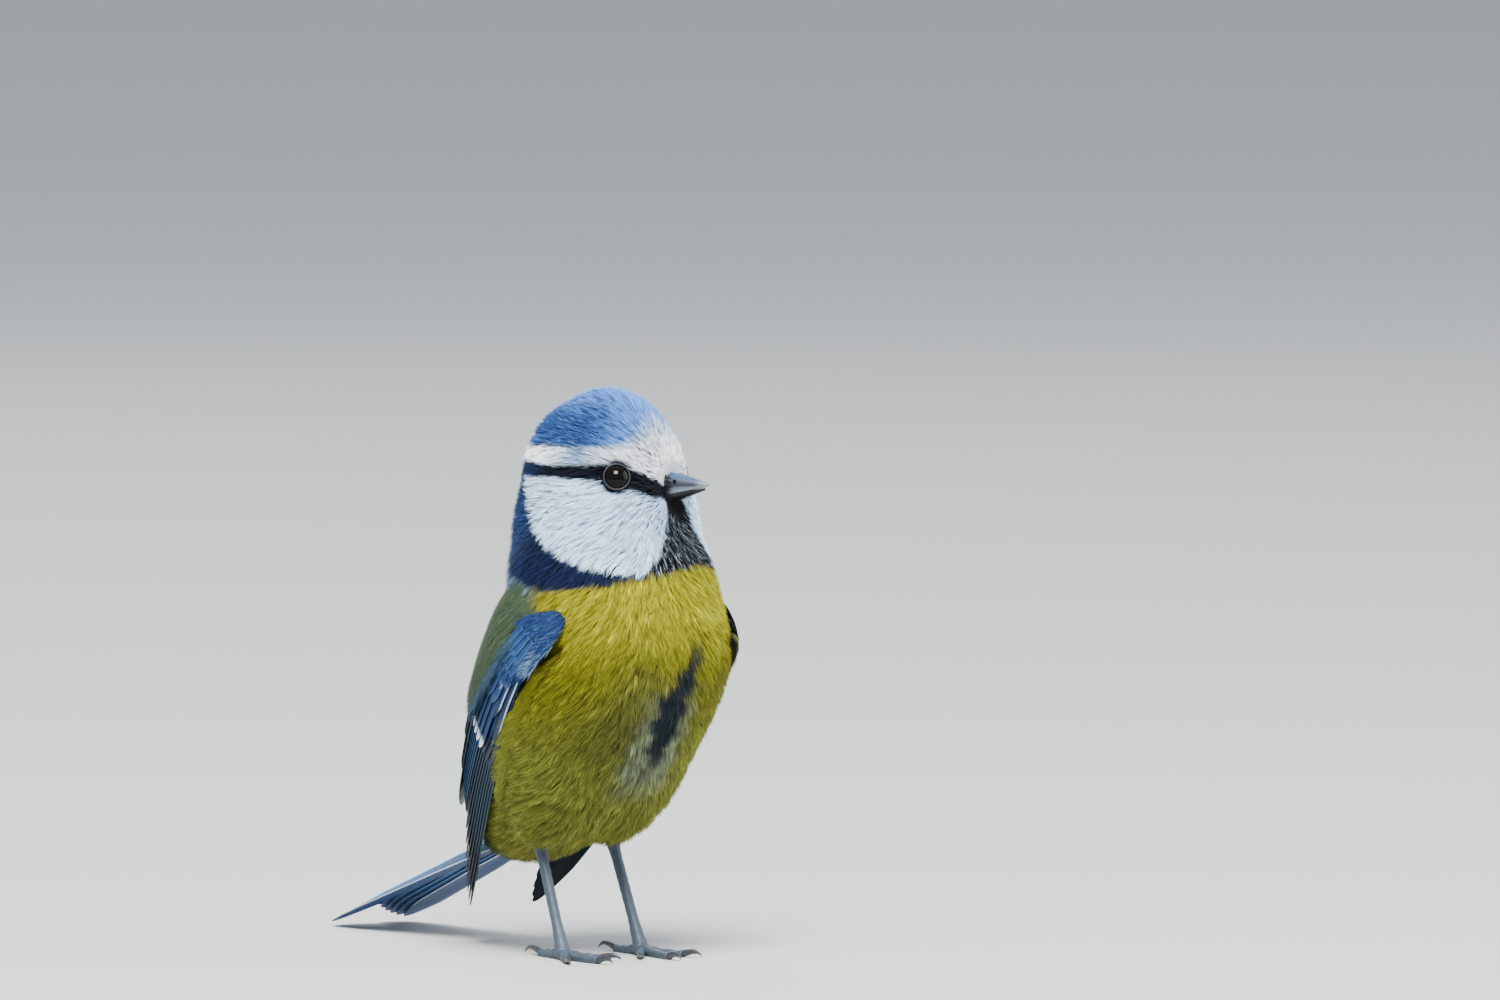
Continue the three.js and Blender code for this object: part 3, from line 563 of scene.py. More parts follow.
def new_material(name, roughness, specular=0.3, color=None):
    """A material with one principled surface; returns the material and that surface."""
    material = bpy.data.materials.new(name)
    material.use_nodes = True
    surface = material.node_tree.nodes["Principled BSDF"]
    surface.inputs["Roughness"].default_value = roughness
    surface.inputs["Specular IOR Level"].default_value = specular
    if color is not None:
        surface.inputs["Base Color"].default_value = (*to_linear(color), 1.0)
    return material, surface


def noise_on(material, scale, detail=3.0):
    """Noise in object space; scale is features per metre."""
    place = add_node(material, "ShaderNodeTexCoord")
    noise = add_node(material, "ShaderNodeTexNoise", [(place.outputs["Object"], "Vector")])
    noise.inputs["Scale"].default_value = scale
    noise.inputs["Detail"].default_value = detail
    return noise


def plumage_material(name, roughness, specular, sheen, vary):
    """Tint from the mesh, made a little lighter and darker by noise."""
    material, surface = new_material(name, roughness, specular)
    tint = add_node(material, "ShaderNodeAttribute", attribute_name="tint")
    noise = noise_on(material, 900.0)
    spread = add_node(material, "ShaderNodeMapRange", [(noise.outputs["Fac"], "Value")])
    spread.inputs["To Min"].default_value = 1.0 - vary
    spread.inputs["To Max"].default_value = 1.0 + vary
    scaled = add_node(material, "ShaderNodeVectorMath",
                      [(tint.outputs["Color"], 0), (spread.outputs["Result"], 1)],
                      operation="MULTIPLY")
    material.node_tree.links.new(scaled.outputs["Vector"], surface.inputs["Base Color"])
    surface.inputs["Sheen Weight"].default_value = sheen
    surface.inputs["Sheen Roughness"].default_value = 0.5
    return material


coat_material = plumage_material("contour feathers", 0.8, 0.1, 0.04, 0.12)
vane_material = plumage_material("flight feathers", 0.55, 0.18, 0.0, 0.08)
skin_material = plumage_material("down over skin", 0.9, 0.1, 0.0, 0.1)
print("plumage materials:", 3)

# %% [markdown]
# ## Skin
#
# One closed skin lies under the coat, from the crown to the root of the tail. It keeps the
# markings, darkened to 0.55 for the darker down and as painted shade in the gaps of the coat,
# so that no gap in the coat shows a wrong colour. Under each wing it is pushed in.

# %% Skin
BILL_BASE = head_point(0.0, 11.2, 1.0)
BILL_MIDDLE = head_point(0.0, 13.0, 0.9)
ARM_DEPTH = 2.6


def bill_dip(points):
    """How far the plumage is drawn in where it meets the bill, so that the bill's base shows."""
    return 1.6 * (1 - smooth(np.linalg.norm(points - BILL_MIDDLE, axis=-1), 2.4, 5.0))


def coat_depth(points):
    """Depth of the plumage: thin on the face, thicker down the body."""
    _, _, up = in_head(points)
    near_bill = 1 - smooth(np.linalg.norm(points - BILL_BASE, axis=-1), 3.0, 9.0)
    depth = mix(0.95, 1.5, smooth(-up, 6.0, 18.0))
    return mix(depth, 0.4, near_bill) + bill_dip(points)


def push_under_wing(points):
    """Moves points that the wing covers to beneath its arm."""
    _, _, h = in_wing(points)
    inward = np.broadcast_to(WING_OUT, points.shape).copy()
    inward[..., 0] *= -np.sign(points[..., 0])
    return points - inward * (np.maximum(h + ARM_DEPTH, 0) * under_wing(points))[..., None]


skin_points = outline - outline_out * coat_depth(outline)[..., None]
skin_points = push_under_wing(skin_points)
# 0.55 of the plumage's colour: the darker down, and painted shade in the gaps between tufts.
skin_tint_with_painted_shade = plumage_color(outline).reshape(-1, 3) * 0.55
points, faces = join_lattices([skin_points])
uv = np.stack([grid_v, grid_u], axis=-1).reshape(-1, 2)
skin = make_mesh("skin", points, faces, skin_material, skin_tint_with_painted_shade, uv)
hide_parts("crown", "face", "neck", "torso", "rump")
print("skin points:", len(points))

# %% [markdown]
# ## Lie of the coat
#
# Feathers on the head radiate from the base of the bill. Below the head they run down and
# back along the body. The direction at each place is laid flat on the outline.

# %% Lie of the coat


def laid_flat(direction, out):
    """The part of each direction that lies across the outward axis, as a unit vector."""
    return unit(direction - out * np.sum(direction * out, axis=-1, keepdims=True))


def turned(direction, out, angle):
    """Directions turned about the outward axis by an angle in radians."""
    across = np.cross(out, direction)
    return direction * np.cos(angle)[..., None] + across * np.sin(angle)[..., None]


def lie_of_coat(points, out):
    """Unit direction of the barbs, along the outline."""
    x, y, z = points[..., 0], points[..., 1], points[..., 2]
    _, _, up = in_head(points)
    from_bill = unit(points - head_point(0.0, 10.5, 1.2))
    t = np.clip((66 - z) / 44, 0, 1)
    down = unit(spine_point(t + 0.02) - spine_point(t - 0.02))
    front = 1 - smooth(y - spine_point(t)[..., 1], -8.0, 4.0)
    sideways = np.sign(x) * smooth(np.abs(x), 1.0, 12.0) * front * 0.4
    down = down + np.stack([sideways, np.full_like(x, 0.5), np.zeros_like(x)], axis=-1)
    blend = smooth(-up, 7.5, 14.0)[..., None]
    direction = from_bill * (1 - blend) + unit(down) * blend
    wave = 0.16 * np.sin(0.55 * x + 0.42 * z) + 0.10 * np.sin(1.05 * z - 0.5 * y + 1.0)
    return turned(laid_flat(direction, out), out, wave)


# %% [markdown]
# ## Coat
#
# Each tuft is a handful of thin barbs that share a root, a lean and a shade, as the barbs of
# one small feather do. A barb is a narrow strip in two lengths: it starts on the skin, and
# its steps follow the lie of the coat and rise to the outline, where it ends in a point.

# %% Barbs
BARBS_PER_TUFT = 9
PATCH = 0.003
BARB_BEND = 0.45
CAMBER_POWER = 0.7


def barb_strips(root, out, direction, length, width, start_level, end_level):
    """Points of strips (barbs x 5 x 3): a pair at the root, a pair at the bend and a tip."""
    across = unit(np.cross(out, direction)) * (width / 2)[:, None]
    rows = [root - across * 0.8, root + across * 0.8]
    place = root
    for step, t in ((BARB_BEND, BARB_BEND), (1 - BARB_BEND, 1.0)):
        place = place + direction * (length * step)[:, None]
        here = outline_distance(place)
        out = outward(place, here)
        target = mix(start_level, end_level, t**CAMBER_POWER)
        place = place + out * (target - here)[:, None]
        direction = laid_flat(direction, out)
        rows += [place - across, place + across] if t < 1 else [place]
    return np.stack(rows, axis=1)


def strip_faces(count):
    """A quad and a tip triangle for each strip of five points."""
    base = 5 * np.arange(count)[:, None]
    return [base + [0, 2, 3, 1], base + [2, 4, 3]]


def strip_tint_with_painted_light(base, shade):
    """Darker at the root, partly for the grey bases and partly as painted shade, and lighter
    at the tip as a painted highlight; pale colours stay more even.
    """
    pale = smooth(base.mean(axis=-1), 0.1, 0.6)
    # Darker root: the grey bases, deepened as painted shade; lighter tip: a painted highlight.
    root = mix(0.2, 0.3, pale)
    middle = mix(0.74, 0.8, pale)
    tip = mix(1.3, 1.12, pale)
    along = np.stack([root, root, middle, middle, tip], axis=1) * shade[:, None]
    return np.clip(base[:, None, :] * along[..., None], 0, 1).reshape(-1, 3)


def strip_patch(center, fan):
    """Each tuft's own small patch on the unwrap of the skin, 0.003 across."""
    edge = np.array([-1, 1, -1, 1, 0]) * 0.08
    step = np.array([-0.5, -0.5, -0.05, -0.05, 0.5])
    local = np.stack([fan[:, None] * 0.4 + edge, np.broadcast_to(step, (len(fan), 5))], axis=-1)
    return (center[:, None, :] + local * PATCH).reshape(-1, 2)


def pick_roots(count, keep):
    """Random places on the outline grid, even by area, kept by a density from 0 to 1."""
    across = np.linalg.norm(np.roll(outline, -1, axis=1) - outline, axis=-1)
    along = np.linalg.norm(np.gradient(outline, axis=0), axis=-1)
    weight = (across * along * keep).ravel()
    chosen = random.choice(len(weight), size=count, p=weight / weight.sum())
    row, column = np.divmod(chosen, COLUMNS)
    jitter = random.uniform(-0.5, 0.5, (count, 2))
    u = np.clip(grid_u[row, column] + jitter[:, 0] / ROWS, 0.002, 0.998)
    v = (grid_v[row, column] + jitter[:, 1] / COLUMNS) % 1
    return u, v


def interpolate_outline(u, v):
    """Places on the outline between the points of the grid."""
    row = np.clip((u - POLE_GAP) / (1 - 2 * POLE_GAP) * (ROWS - 1), 0, ROWS - 1.001)
    column = v * COLUMNS
    i = row.astype(int)
    j = column.astype(int) % COLUMNS
    a = (row - i)[:, None]
    b = (column - column.astype(int))[:, None]
    right = (j + 1) % COLUMNS
    upper = outline[i, j] * (1 - b) + outline[i, right] * b
    lower = outline[i + 1, j] * (1 - b) + outline[i + 1, right] * b
    return upper * (1 - a) + lower * a


EYE_CLEARANCE = 2.05
EYE_REACH = 3.0


def clear_of_face(points):
    """False for places on the eyes and inside the bill."""
    clear = np.ones(points.shape[:-1], bool)
    for surface, out, _ in EYES.values():
        away = points - surface
        off_axis = np.linalg.norm(away - out * (away @ out)[..., None], axis=-1)
        clear &= (off_axis > EYE_CLEARANCE) | (np.abs(away @ out) > EYE_REACH)
    side, forward, up = in_head(points)
    in_bill = (forward > 10.6) & (np.abs(side) < 2.4) & (up > -1.9) & (up < 2.9)
    return clear & ~in_bill


def fluff(points):
    """Extra height of the coat, most on the nape and the back of the crown."""
    side, forward, up = in_head(points)
    angle = np.degrees(np.arctan2(np.abs(side), forward))
    nape = smooth(angle, 95, 135) * smooth(up, -15, -8) * (1 - smooth(up, 9, 14))
    near_bill = 1 - smooth(np.linalg.norm(points - BILL_BASE, axis=-1), 3.0, 8.0)
    return mix(0.3 + 0.9 * nape, 0.0, near_bill)


def grow_coat(name, keep, tufts, width, spread):
    """One piece of the coat over the part of the body where keep is above zero.

    A tuft's shade is exp(N(0, 0.28)), and its barbs converge by 0.75 of their spread.
    """
    u, v = pick_roots(tufts, keep)
    middle = interpolate_outline(u, v)
    out = outward(middle)
    lie = turned(lie_of_coat(middle, out), out, random.normal(0, 0.09, tufts))
    shade = np.exp(random.normal(0.0, 0.28, tufts))
    rise = random.uniform(-0.60, 0.30, tufts)
    count = tufts * BARBS_PER_TUFT
    tuft = np.repeat(np.arange(tufts), BARBS_PER_TUFT)
    fan = random.uniform(-1, 1, count)
    scatter = fan[:, None] * np.cross(out, lie)[tuft] * spread
    scatter += random.uniform(-1, 1, count)[:, None] * lie[tuft] * spread * 1.6
    place = middle[tuft] + scatter
    here = outline_distance(place)
    out = outward(place, here)
    depth = coat_depth(place)
    place = place - out * (here + depth)[:, None]
    long = coat_length(place) * random.uniform(0.75, 1.2, count)
    turn = -0.75 * fan * spread / long + random.normal(0, 0.05, count)
    direction = laid_flat(turned(lie[tuft], out, turn), out)
    thick = width * random.uniform(0.75, 1.2, count)
    level = rise[tuft] + random.uniform(-0.2, 0.12, count)
    end = level * np.minimum(depth, 1.0) + fluff(place) - bill_dip(place)
    strips = barb_strips(place, out, direction, long, thick, -depth, end)
    clear = clear_of_face(strips[:, 2]) & clear_of_face(strips[:, 4]) & clear_of_face(place)
    seen = place + direction * (long * 0.6)[:, None]
    base = plumage_color(seen + random.normal(0, 0.15, place.shape), random.uniform(0, 1, count))
    pale = smooth(base.mean(axis=-1), 0.1, 0.6)
    own = mix(shade[tuft] * random.normal(1.0, 0.26, count), 1.0, pale * 0.15)
    center = np.stack([v[tuft], u[tuft]], axis=-1)
    strips, base, own = strips[clear], base[clear], own[clear]
    patch = strip_patch(center[clear], fan[clear])
    piece = make_mesh(name, strips.reshape(-1, 3), strip_faces(len(strips)), coat_material,
                      strip_tint_with_painted_light(base, own), patch)
    return len(strips)


def coat_length(points):
    """Length of the barbs: short by the bill, longest on the flanks and belly."""
    _, _, up = in_head(points)
    near_bill = 1 - smooth(np.linalg.norm(points - BILL_BASE, axis=-1), 2.5, 10.0)
    body = smooth(-up, 8.0, 22.0)
    return mix(mix(2.5, 3.8, body), 1.0, near_bill)


# %% [markdown]
# ## The coat over the body
#
# The coat is grown in bands of height, so that no piece is too large. Each row below gives
# a band's name, its lowest and highest place, its count of tufts, the width of a barb, the
# spread of a tuft and its slot. No tuft grows where a folded wing covers the body.

# %% Grow the coat over the body
grid_height = outline[..., 2]
_, _, over_wing = in_wing(outline)
covered = smooth(under_wing(outline), 0.25, 0.6) * smooth(over_wing, -ARM_DEPTH, -2.0)
BANDS = [
    ("coat_crown", 77.5, 99, 6400, 0.085, 0.14, "crown"),
    ("coat_face_upper", 70.5, 77.5, 6600, 0.07, 0.12, "face"),
    ("coat_face_lower", 63.0, 70.5, 6600, 0.075, 0.12, "face"),
    ("coat_neck", 55.5, 63.0, 6300, 0.10, 0.16, "collar"),
    ("coat_breast", 46.5, 55.5, 6300, 0.11, 0.19, "breast"),
    ("coat_flank", 36.0, 46.5, 6300, 0.12, 0.21, "breast"),
    ("coat_belly", 26.0, 36.0, 6000, 0.13, 0.23, "vent"),
    ("coat_vent", 0.0, 26.0, 5500, 0.13, 0.25, "vent"),
]
coat_barbs = 0
for name, bottom, top, tufts, width, spread, slot_name in BANDS:
    band = (grid_height >= bottom) & (grid_height < top)
    count = tufts
    coat_barbs += grow_coat(name, band * (1 - covered), count, width, spread)
print("coat barbs:", coat_barbs)

# %% [markdown]
# ## Feathers of the wings and tail
#
# A feather is a closed thin vane. Across it, v runs from -1 at the edge that shows to +1 at
# the edge that the next feather covers. The shaft stands a little proud at v = 0, and the
# width follows w(t) = sqrt(5.5 (1 - t)) near the tip and widens from the root.

# %% Vanes
VANE_COLUMNS = np.array([-1.0, -0.93, -0.8, -0.55, -0.3, -0.1, 0.0, 0.1, 0.35, 0.65, 1.0])
VANE_ROWS = 26


def vane(place, root, tip, width, height, tilt, thickness=0.16, camber=0.25, curve=0.0):
    """A feather between two places of a frame; returns its lattice, t and v of each point."""
    root = np.array(root, float)
    tip = np.array(tip, float)
    along = tip - root
    length = np.linalg.norm(along)
    across = np.array([-along[1], along[0]]) / length
    t = 1 - (1 - np.linspace(0, 1, VANE_ROWS)) ** 1.7
    narrow = np.sqrt(np.clip((1 - t) * 5.5, 0.0, 1)) * mix(0.5, 1, np.clip(t * 2.5, 0, 1))
    half = np.maximum(width / 2 * narrow, 0.02)
    side = np.concatenate([VANE_COLUMNS, VANE_COLUMNS[::-1]])
    face = np.concatenate([np.full(len(VANE_COLUMNS), 0.5), np.full(len(VANE_COLUMNS), -0.5)])
    t, side = np.meshgrid(t, side, indexing="ij")
    face = np.broadcast_to(face, t.shape)
    v = side * half[:, None]
    bend = curve * t * (1 - t) * 4
    s = root[0] + along[0] * t + across[0] * (v + bend)
    w = root[1] + along[1] * t + across[1] * (v + bend)
    shaft = 0.09 * np.exp(-((side / 0.09) ** 2)) * (1 - 0.7 * t) * (face > 0)
    roof = camber * (1 - side**2) * (half[:, None] / (width / 2))
    h = height - tilt * v + roof * 0.5 + face * thickness * mix(1.0, 0.5, t) + shaft
    return place(s, w, h), t, side


def vane_tint(t, side, web, edge, tip, tip_share, dark, edge_width=0.14):
    """Colours of a vane: pale edge, blue outer web, darker inner web, and a pale tip."""
    web, edge, tip, dark = (to_linear(code) for code in (web, edge, tip, dark))
    color = np.broadcast_to(web, (*t.shape, 3)).copy()
    color = layer(color, dark, smooth(side, -0.25, 0.25) * 0.85)
    color = layer(color, dark * 0.6, np.exp(-((side / 0.07) ** 2)) * 0.7)
    margin = 1 - smooth(side, -1 + edge_width * 0.5, -1 + edge_width * 1.5)
    color = layer(color, edge, margin * (1 - 0.3 * t))
    color = layer(color, tip, smooth(t, 1 - tip_share, 1 - tip_share * 0.55))
    ripple = 1 + 0.05 * np.sin(t * 260 + side * 22)
    return color * ripple[..., None] * mix(0.8, 1.0, smooth(t, 0.05, 0.35))[..., None]


def tier(count, make):
    """count feathers; make(share) gives the keywords of vane and of vane_tint."""
    return [make(float(share)) for share in np.linspace(0, 1, count)]


PRIMARY_LOOK = dict(web="0f1f2a", edge="2e4654", tip="121a22", tip_share=0.3, dark="0b1017",
                    edge_width=0.09)
SECONDARY_LOOK = dict(web="163256", edge="325378", tip="8d9aaa", tip_share=0.04, dark="111a26")
TERTIAL_LOOK = dict(web="273c46", edge="475865", tip="c3cad0", tip_share=0.07, dark="223039")
GREATER_LOOK = dict(web="10274c", edge="22416d", tip="eaf1f8", tip_share=0.18, dark="0f1d34")
MEDIAN_LOOK = dict(web="163460", edge="2e507f", tip="21416c", tip_share=0.2, dark="142e54")
LESSER_LOOK = dict(web="1a3a66", edge="395b84", tip="2b4b77", tip_share=0.3, dark="112648")
HAND_LOOK = dict(web="102849", edge="26476f", tip="0f1f37", tip_share=0.3, dark="0c182b")
ALULA_LOOK = dict(web="11294d", edge="c6d8ea", tip="182b43", tip_share=0.2, dark="0c1729", edge_width=0.11)


def wing_feathers():
    """Every feather of one folded wing, from the lowest tier to the highest."""
    feathers = []
    feathers += tier(9, lambda k: (dict(
        root=(10, mix(1.4, 5.0, k)), tip=(mix(60, 45.5, k**1.6), mix(4.4, 9.6, k)),
        width=mix(3.2, 4.6, k), height=mix(-1.65, -1.0, k), tilt=0.3, curve=-0.5), PRIMARY_LOOK))
    feathers += tier(6, lambda k: (dict(
        root=(11, mix(5.4, 9.0, k)), tip=(mix(45.2, 43, k), mix(9.9, 13.0, k)),
        width=4.8, height=mix(-0.9, -0.45, k), tilt=0.3), SECONDARY_LOOK))
    feathers += tier(3, lambda k: (dict(
        root=(12, mix(9.6, 12.4, k)), tip=(mix(47, 35, k), mix(13.0, 15.2, k)),
        width=mix(6.0, 5.4, k), height=mix(-0.15, 0.25, k), tilt=0.26), TERTIAL_LOOK))
    feathers += tier(4, lambda k: (dict(
        root=(6, mix(0.4, 2.4, k)), tip=(mix(28.8, 26.6, k), mix(1.5, 4.2, k)),
        width=2.9, height=mix(-0.5, -0.1, k), tilt=0.28), HAND_LOOK))
    feathers += tier(9, lambda k: (dict(
        root=(9, mix(2.6, 12.2, k)), tip=(mix(26.8, 24.4, k), mix(4.0, 14.4, k)),
        width=3.5, height=mix(0.15, 0.5, k), tilt=0.26), GREATER_LOOK))
    feathers += tier(3, lambda k: (dict(
        root=(1.5, mix(0.4, 2.0, k)), tip=(mix(22.6, 14.4, k), mix(0.7, 2.9, k)),
        width=2.7, height=mix(0.2, 0.6, k), tilt=0.24), ALULA_LOOK))
    feathers += tier(8, lambda k: (dict(
        root=(3, mix(2.0, 11.0, k)), tip=(mix(16.6, 15.4, k), mix(3.2, 13.6, k)),
        width=3.4, height=mix(0.55, 0.85, k), tilt=0.22), MEDIAN_LOOK))
    for row, reach in enumerate((11.5, 8.8, 6.2)):
        feathers += tier(4, lambda k: (dict(
            root=(reach - 4.6, mix(0.8, 3.8, k)),
            tip=(reach + 0.5 * math.sin(6 * k + row), mix(0.9, 4.6, k)),
            width=1.9, height=mix(0.8, 0.95, k) + 0.12 * row, tilt=0.2), LESSER_LOOK))
    return feathers


def build_vanes(name, feathers, place, node, mirrored=False):
    """Joins feathers into one object; a mirrored frame has its columns turned to face out."""
    lattices = []
    tints = []
    for shape, look in feathers:
        lattice, t, side = vane(place, **shape)
        tint = vane_tint(t, side, **look) * random.uniform(0.93, 1.06)
        lattices.append(lattice[:, ::-1] if mirrored else lattice)
        tints.append((tint[:, ::-1] if mirrored else tint).reshape(-1, 3))
    points, faces = join_lattices(lattices)
    piece = make_mesh(name, points, faces, vane_material, np.clip(np.concatenate(tints), 0, 1))
    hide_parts(node)
    return len(lattices)


def left_wing_point(s, w, h):
    """Place of (s, w, h) on the left wing, which mirrors the right one."""
    return wing_point(s, w, h) * np.array([-1.0, 1.0, 1.0])


wing_layout = wing_feathers()
feather_count = build_vanes("wing_feathers_right", wing_layout, wing_point, "wing_right")
feather_count += build_vanes("wing_feathers_left", wing_layout, left_wing_point, "wing_left",
                             mirrored=True)
print("wing feathers:", feather_count)

# %% [markdown]
# ## Tail
#
# The tail is folded: its feathers fan out by a few degrees and end nearly level.

# %% Tail feathers
TAIL_PAIRS = 6
TAIL_LOOK = dict(web="3a6092", edge="6d89ad", tip="355485", tip_share=0.15, dark="2e4974")
OUTER_LOOK = dict(web="355480", edge="dce6f1", tip="355485", tip_share=0.15, dark="2e4974")


def tail_feathers():
    """Six pairs: the middle pair lies on top, and each next pair is lower and further out."""
    feathers = []
    for pair in reversed(range(TAIL_PAIRS)):
        k = pair / (TAIL_PAIRS - 1)
        for sign in (-1, 1):
            root = (0.0, sign * mix(0.5, 1.9, k))
            tip = (TAIL_LENGTH + mix(-1.6, 0.4, math.sin(k * 2.2)), sign * mix(1.3, 6.6, k))
            height = -0.34 * pair + (0.17 if sign > 0 else 0.0)
            shape = dict(root=root, tip=tip, width=mix(5.2, 4.0, k), height=height, tilt=sign * 0.09)
            look = OUTER_LOOK if pair == TAIL_PAIRS - 1 else TAIL_LOOK
            feathers.append((shape, look))
    return feathers


feather_count = build_vanes("tail_feathers", tail_feathers(), tail_point, "tail")
print("tail feathers:", feather_count)

# %% [markdown]
# ## Small feathers around the wing
#
# Three sorts of barbs lie in the wing's own frame, and run toward its tip. Blue ones cover
# its shoulder, green ones fall over its upper edge from the back, and pale and yellow ones
# from the breast and flank overlap its lower edge. On the left wing they begin at the bend
# itself, so that the breast's feathers spill over it.

# %% Barbs around the wing


def wing_barbs(name, s, w, length, drift, thick, low_height, high_height, base, sign):
    """Barbs rooted at s, w that keep above both the wing and the outline of the body."""
    rows = []
    for t, share in ((0.0, 0.8), (BARB_BEND, 1.0), (1.0, 0.0)):
        height = mix(low_height, high_height, t**CAMBER_POWER)
        edges = (-sign, sign) if share > 0 else (0,)
        for edge in edges:
            side = edge * thick * share / 2
            place = wing_point(s + length * t, w + drift * length * t + side, height)
            short = np.maximum(mix(-0.6, 0.5, t) - outline_distance(place), 0)
            rows.append(place + short[:, None] * WING_OUT)
    strips = np.stack(rows, axis=1)
    strips[..., 0] *= -sign
    fan = random.uniform(-1, 1, len(s))
    center = np.stack([(s + 8) / 80, (w + 8) / 34], axis=-1)
    shade = np.exp(random.normal(0.0, 0.25, len(s)))
    piece = make_mesh(name, strips.reshape(-1, 3), strip_faces(len(s)), coat_material,
                      strip_tint_with_painted_light(base, shade), strip_patch(center, fan))
    return len(s)


# s of places along the wing, and w where the back's green begins over it
BACK_LINE = ([-6, 0, 5, 12, 18, 24], [3.2, 2.8, 3.2, 4.2, 5.8, 8.0])


def shoulder(count, sign, name):
    """Short blue barbs over the bend of the wing, some of them pale along its front edge."""
    s = random.uniform(-3.4, 10.0, count)
    w = random.uniform(-2.0, 6.0, count)
    inside = ((s - 3.4) / 6.6) ** 2 + ((w - 1.9) / 3.9) ** 2 < 1
    s, w = s[inside], w[inside]
    count = len(s)
    blue = np.broadcast_to(to_linear("10264f"), (count, 3))
    base = layer(blue, to_linear("3c5c84"), smooth(random.uniform(0, 1, count), 0.55, 1.0) * 0.6)
    fringe = (1 - smooth(w, -1.0, 0.6)) * (1 - smooth(s, 4.0, 7.0))
    fringe = fringe * (random.uniform(0, 1, count) > 0.6)
    base = layer(base, to_linear("7f9dbc"), fringe * 0.7)
    high = random.uniform(0.95, 1.35, count) * smooth(s, -5.0, 2.0)
    long = random.uniform(0.9, 1.5, count) * (1 + fringe)
    return wing_barbs(name, s, w, long, random.normal(0.1, 0.2, count),
                      random.uniform(0.09, 0.14, count), high * 0.4, high, base, sign)


def back_fall(count, sign, name):
    """Green barbs that fall from the back over the upper edge of the wing."""
    s = random.uniform(-3.2, 21.0, count)
    line = np.interp(s, *BACK_LINE)
    w = line + random.uniform(0, 1, count) ** 1.15 * (15.5 - line)
    inside = s < 21.5 - 0.10 * (w - 9.0) ** 2
    s, w = s[inside], w[inside]
    green = layer(np.broadcast_to(PLUMAGE["mantle"], (len(s), 3)), to_linear("2b4a72"),
                  (1 - smooth(w - np.interp(s, *BACK_LINE), 0.2, 2.0)) * 0.6)
    long = random.uniform(2.4, 4.0, len(s))
    high = random.uniform(1.1, 1.9, len(s)) - 2.0 * (1 - smooth(s, -4.0, 3.0))
    return wing_barbs(name, s, w, long, random.normal(-0.05, 0.10, len(s)),
                      random.uniform(0.10, 0.16, len(s)), high - 1.0, high, green, sign)


def edge_fall(count, sign, name, start):
    """Yellow barbs that rise from the flank over the lower edge, from s = start to s = 30."""
    s = random.uniform(start, 30.0, count)
    w = np.interp(s, *WING_FRONT) + random.uniform(-1.4, -0.3, count)
    place = wing_point(s, w, np.zeros(count))
    base = plumage_color(place + np.array([1.0, -1.0, 0.0]))
    high = random.uniform(-0.4, 0.3, count)
    return wing_barbs(name, s, w, random.uniform(1.8, 3.0, count), random.normal(-0.02, 0.08, count),
                      random.uniform(0.08, 0.12, count), high - 1.6, high, base, sign)


EDGE_START = {"left": -2.0, "right": 4.0}
SHOULDER_BARBS = 9000
BACK_BARBS = 16000
EDGE_BARBS = 5000
wing_coat = 0
for side, sign in (("left", 1), ("right", -1)):
    share = 1.0
    wing_coat += shoulder(int(SHOULDER_BARBS * share), sign, f"coat_shoulder_{side}")
    wing_coat += back_fall(int(BACK_BARBS * share), sign, f"coat_back_fall_{side}")
    wing_coat += edge_fall(int(EDGE_BARBS * share), sign, f"coat_edge_{side}", EDGE_START[side])
print("barbs around the wings:", wing_coat)

# %% [markdown]
# ## Eyes and lids
#
# Each eye is a dark brown ball sunk in the head, with a ring of bare lid round its opening.

# %% Eyes


def ball(center, radius, rings, columns, axis=UP):
    """A ball whose poles lie on an axis."""
    side = unit(np.cross(axis, [0.3, 0.9, 0.1]))
    over = np.cross(axis, side)
    theta, phi = np.meshgrid(np.linspace(0.02, math.pi - 0.02, rings),
                             np.linspace(0, 2 * math.pi, columns, endpoint=False), indexing="ij")
    ring = np.cos(phi)[..., None] * side + np.sin(phi)[..., None] * over
    return center + radius * (np.sin(theta)[..., None] * ring - np.cos(theta)[..., None] * axis)


def ring_tube(center, axis, radius, tube_out, tube_across, columns=72, sides=12):
    """A ring round an axis, with an oval section; columns go round, sides round the tube."""
    side = unit(np.cross(axis, UP))
    over = np.cross(side, axis)
    phi = np.linspace(0, 2 * math.pi, columns + 1)
    angle = np.linspace(0, 2 * math.pi, sides, endpoint=False)
    phi, angle = np.meshgrid(phi, angle, indexing="ij")
    away = np.cos(phi)[..., None] * side + np.sin(phi)[..., None] * over
    spread = radius + tube_across * np.cos(angle)
    return center + spread[..., None] * away + (tube_out * np.sin(angle))[..., None] * axis


LID_RADIUS = 1.96
LID_RISE = 0.22
LID_WIDTH = 0.16
LID_SINK = 0.05
iris_material, _ = new_material("dark brown eye", 0.03, 0.14, "060302")
lid_material, _ = new_material("bare lid", 0.45, 0.3, "171b22")

for name, (surface, out, center) in EYES.items():
    points, faces = join_lattices([ball(center, EYE_RADIUS, 40, 48, out)])
    eye = make_mesh(f"eyeball_{name}", points, faces, iris_material)
    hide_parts(f"eye_{name}")
    lids = ring_tube(surface - out * LID_SINK, out, LID_RADIUS, LID_RISE, LID_WIDTH)
    points, faces = join_lattices([lids])
    lid = make_mesh(f"lids_{name}", points, faces[:1], lid_material)
print("eyes:", len(EYES))

# %% [markdown]
# ## Bill
#
# Each half of the bill runs from the mouth line to its far edge: the culmen above, the chin
# below. Along it the half width is 2.55 (1 - t)^0.8.

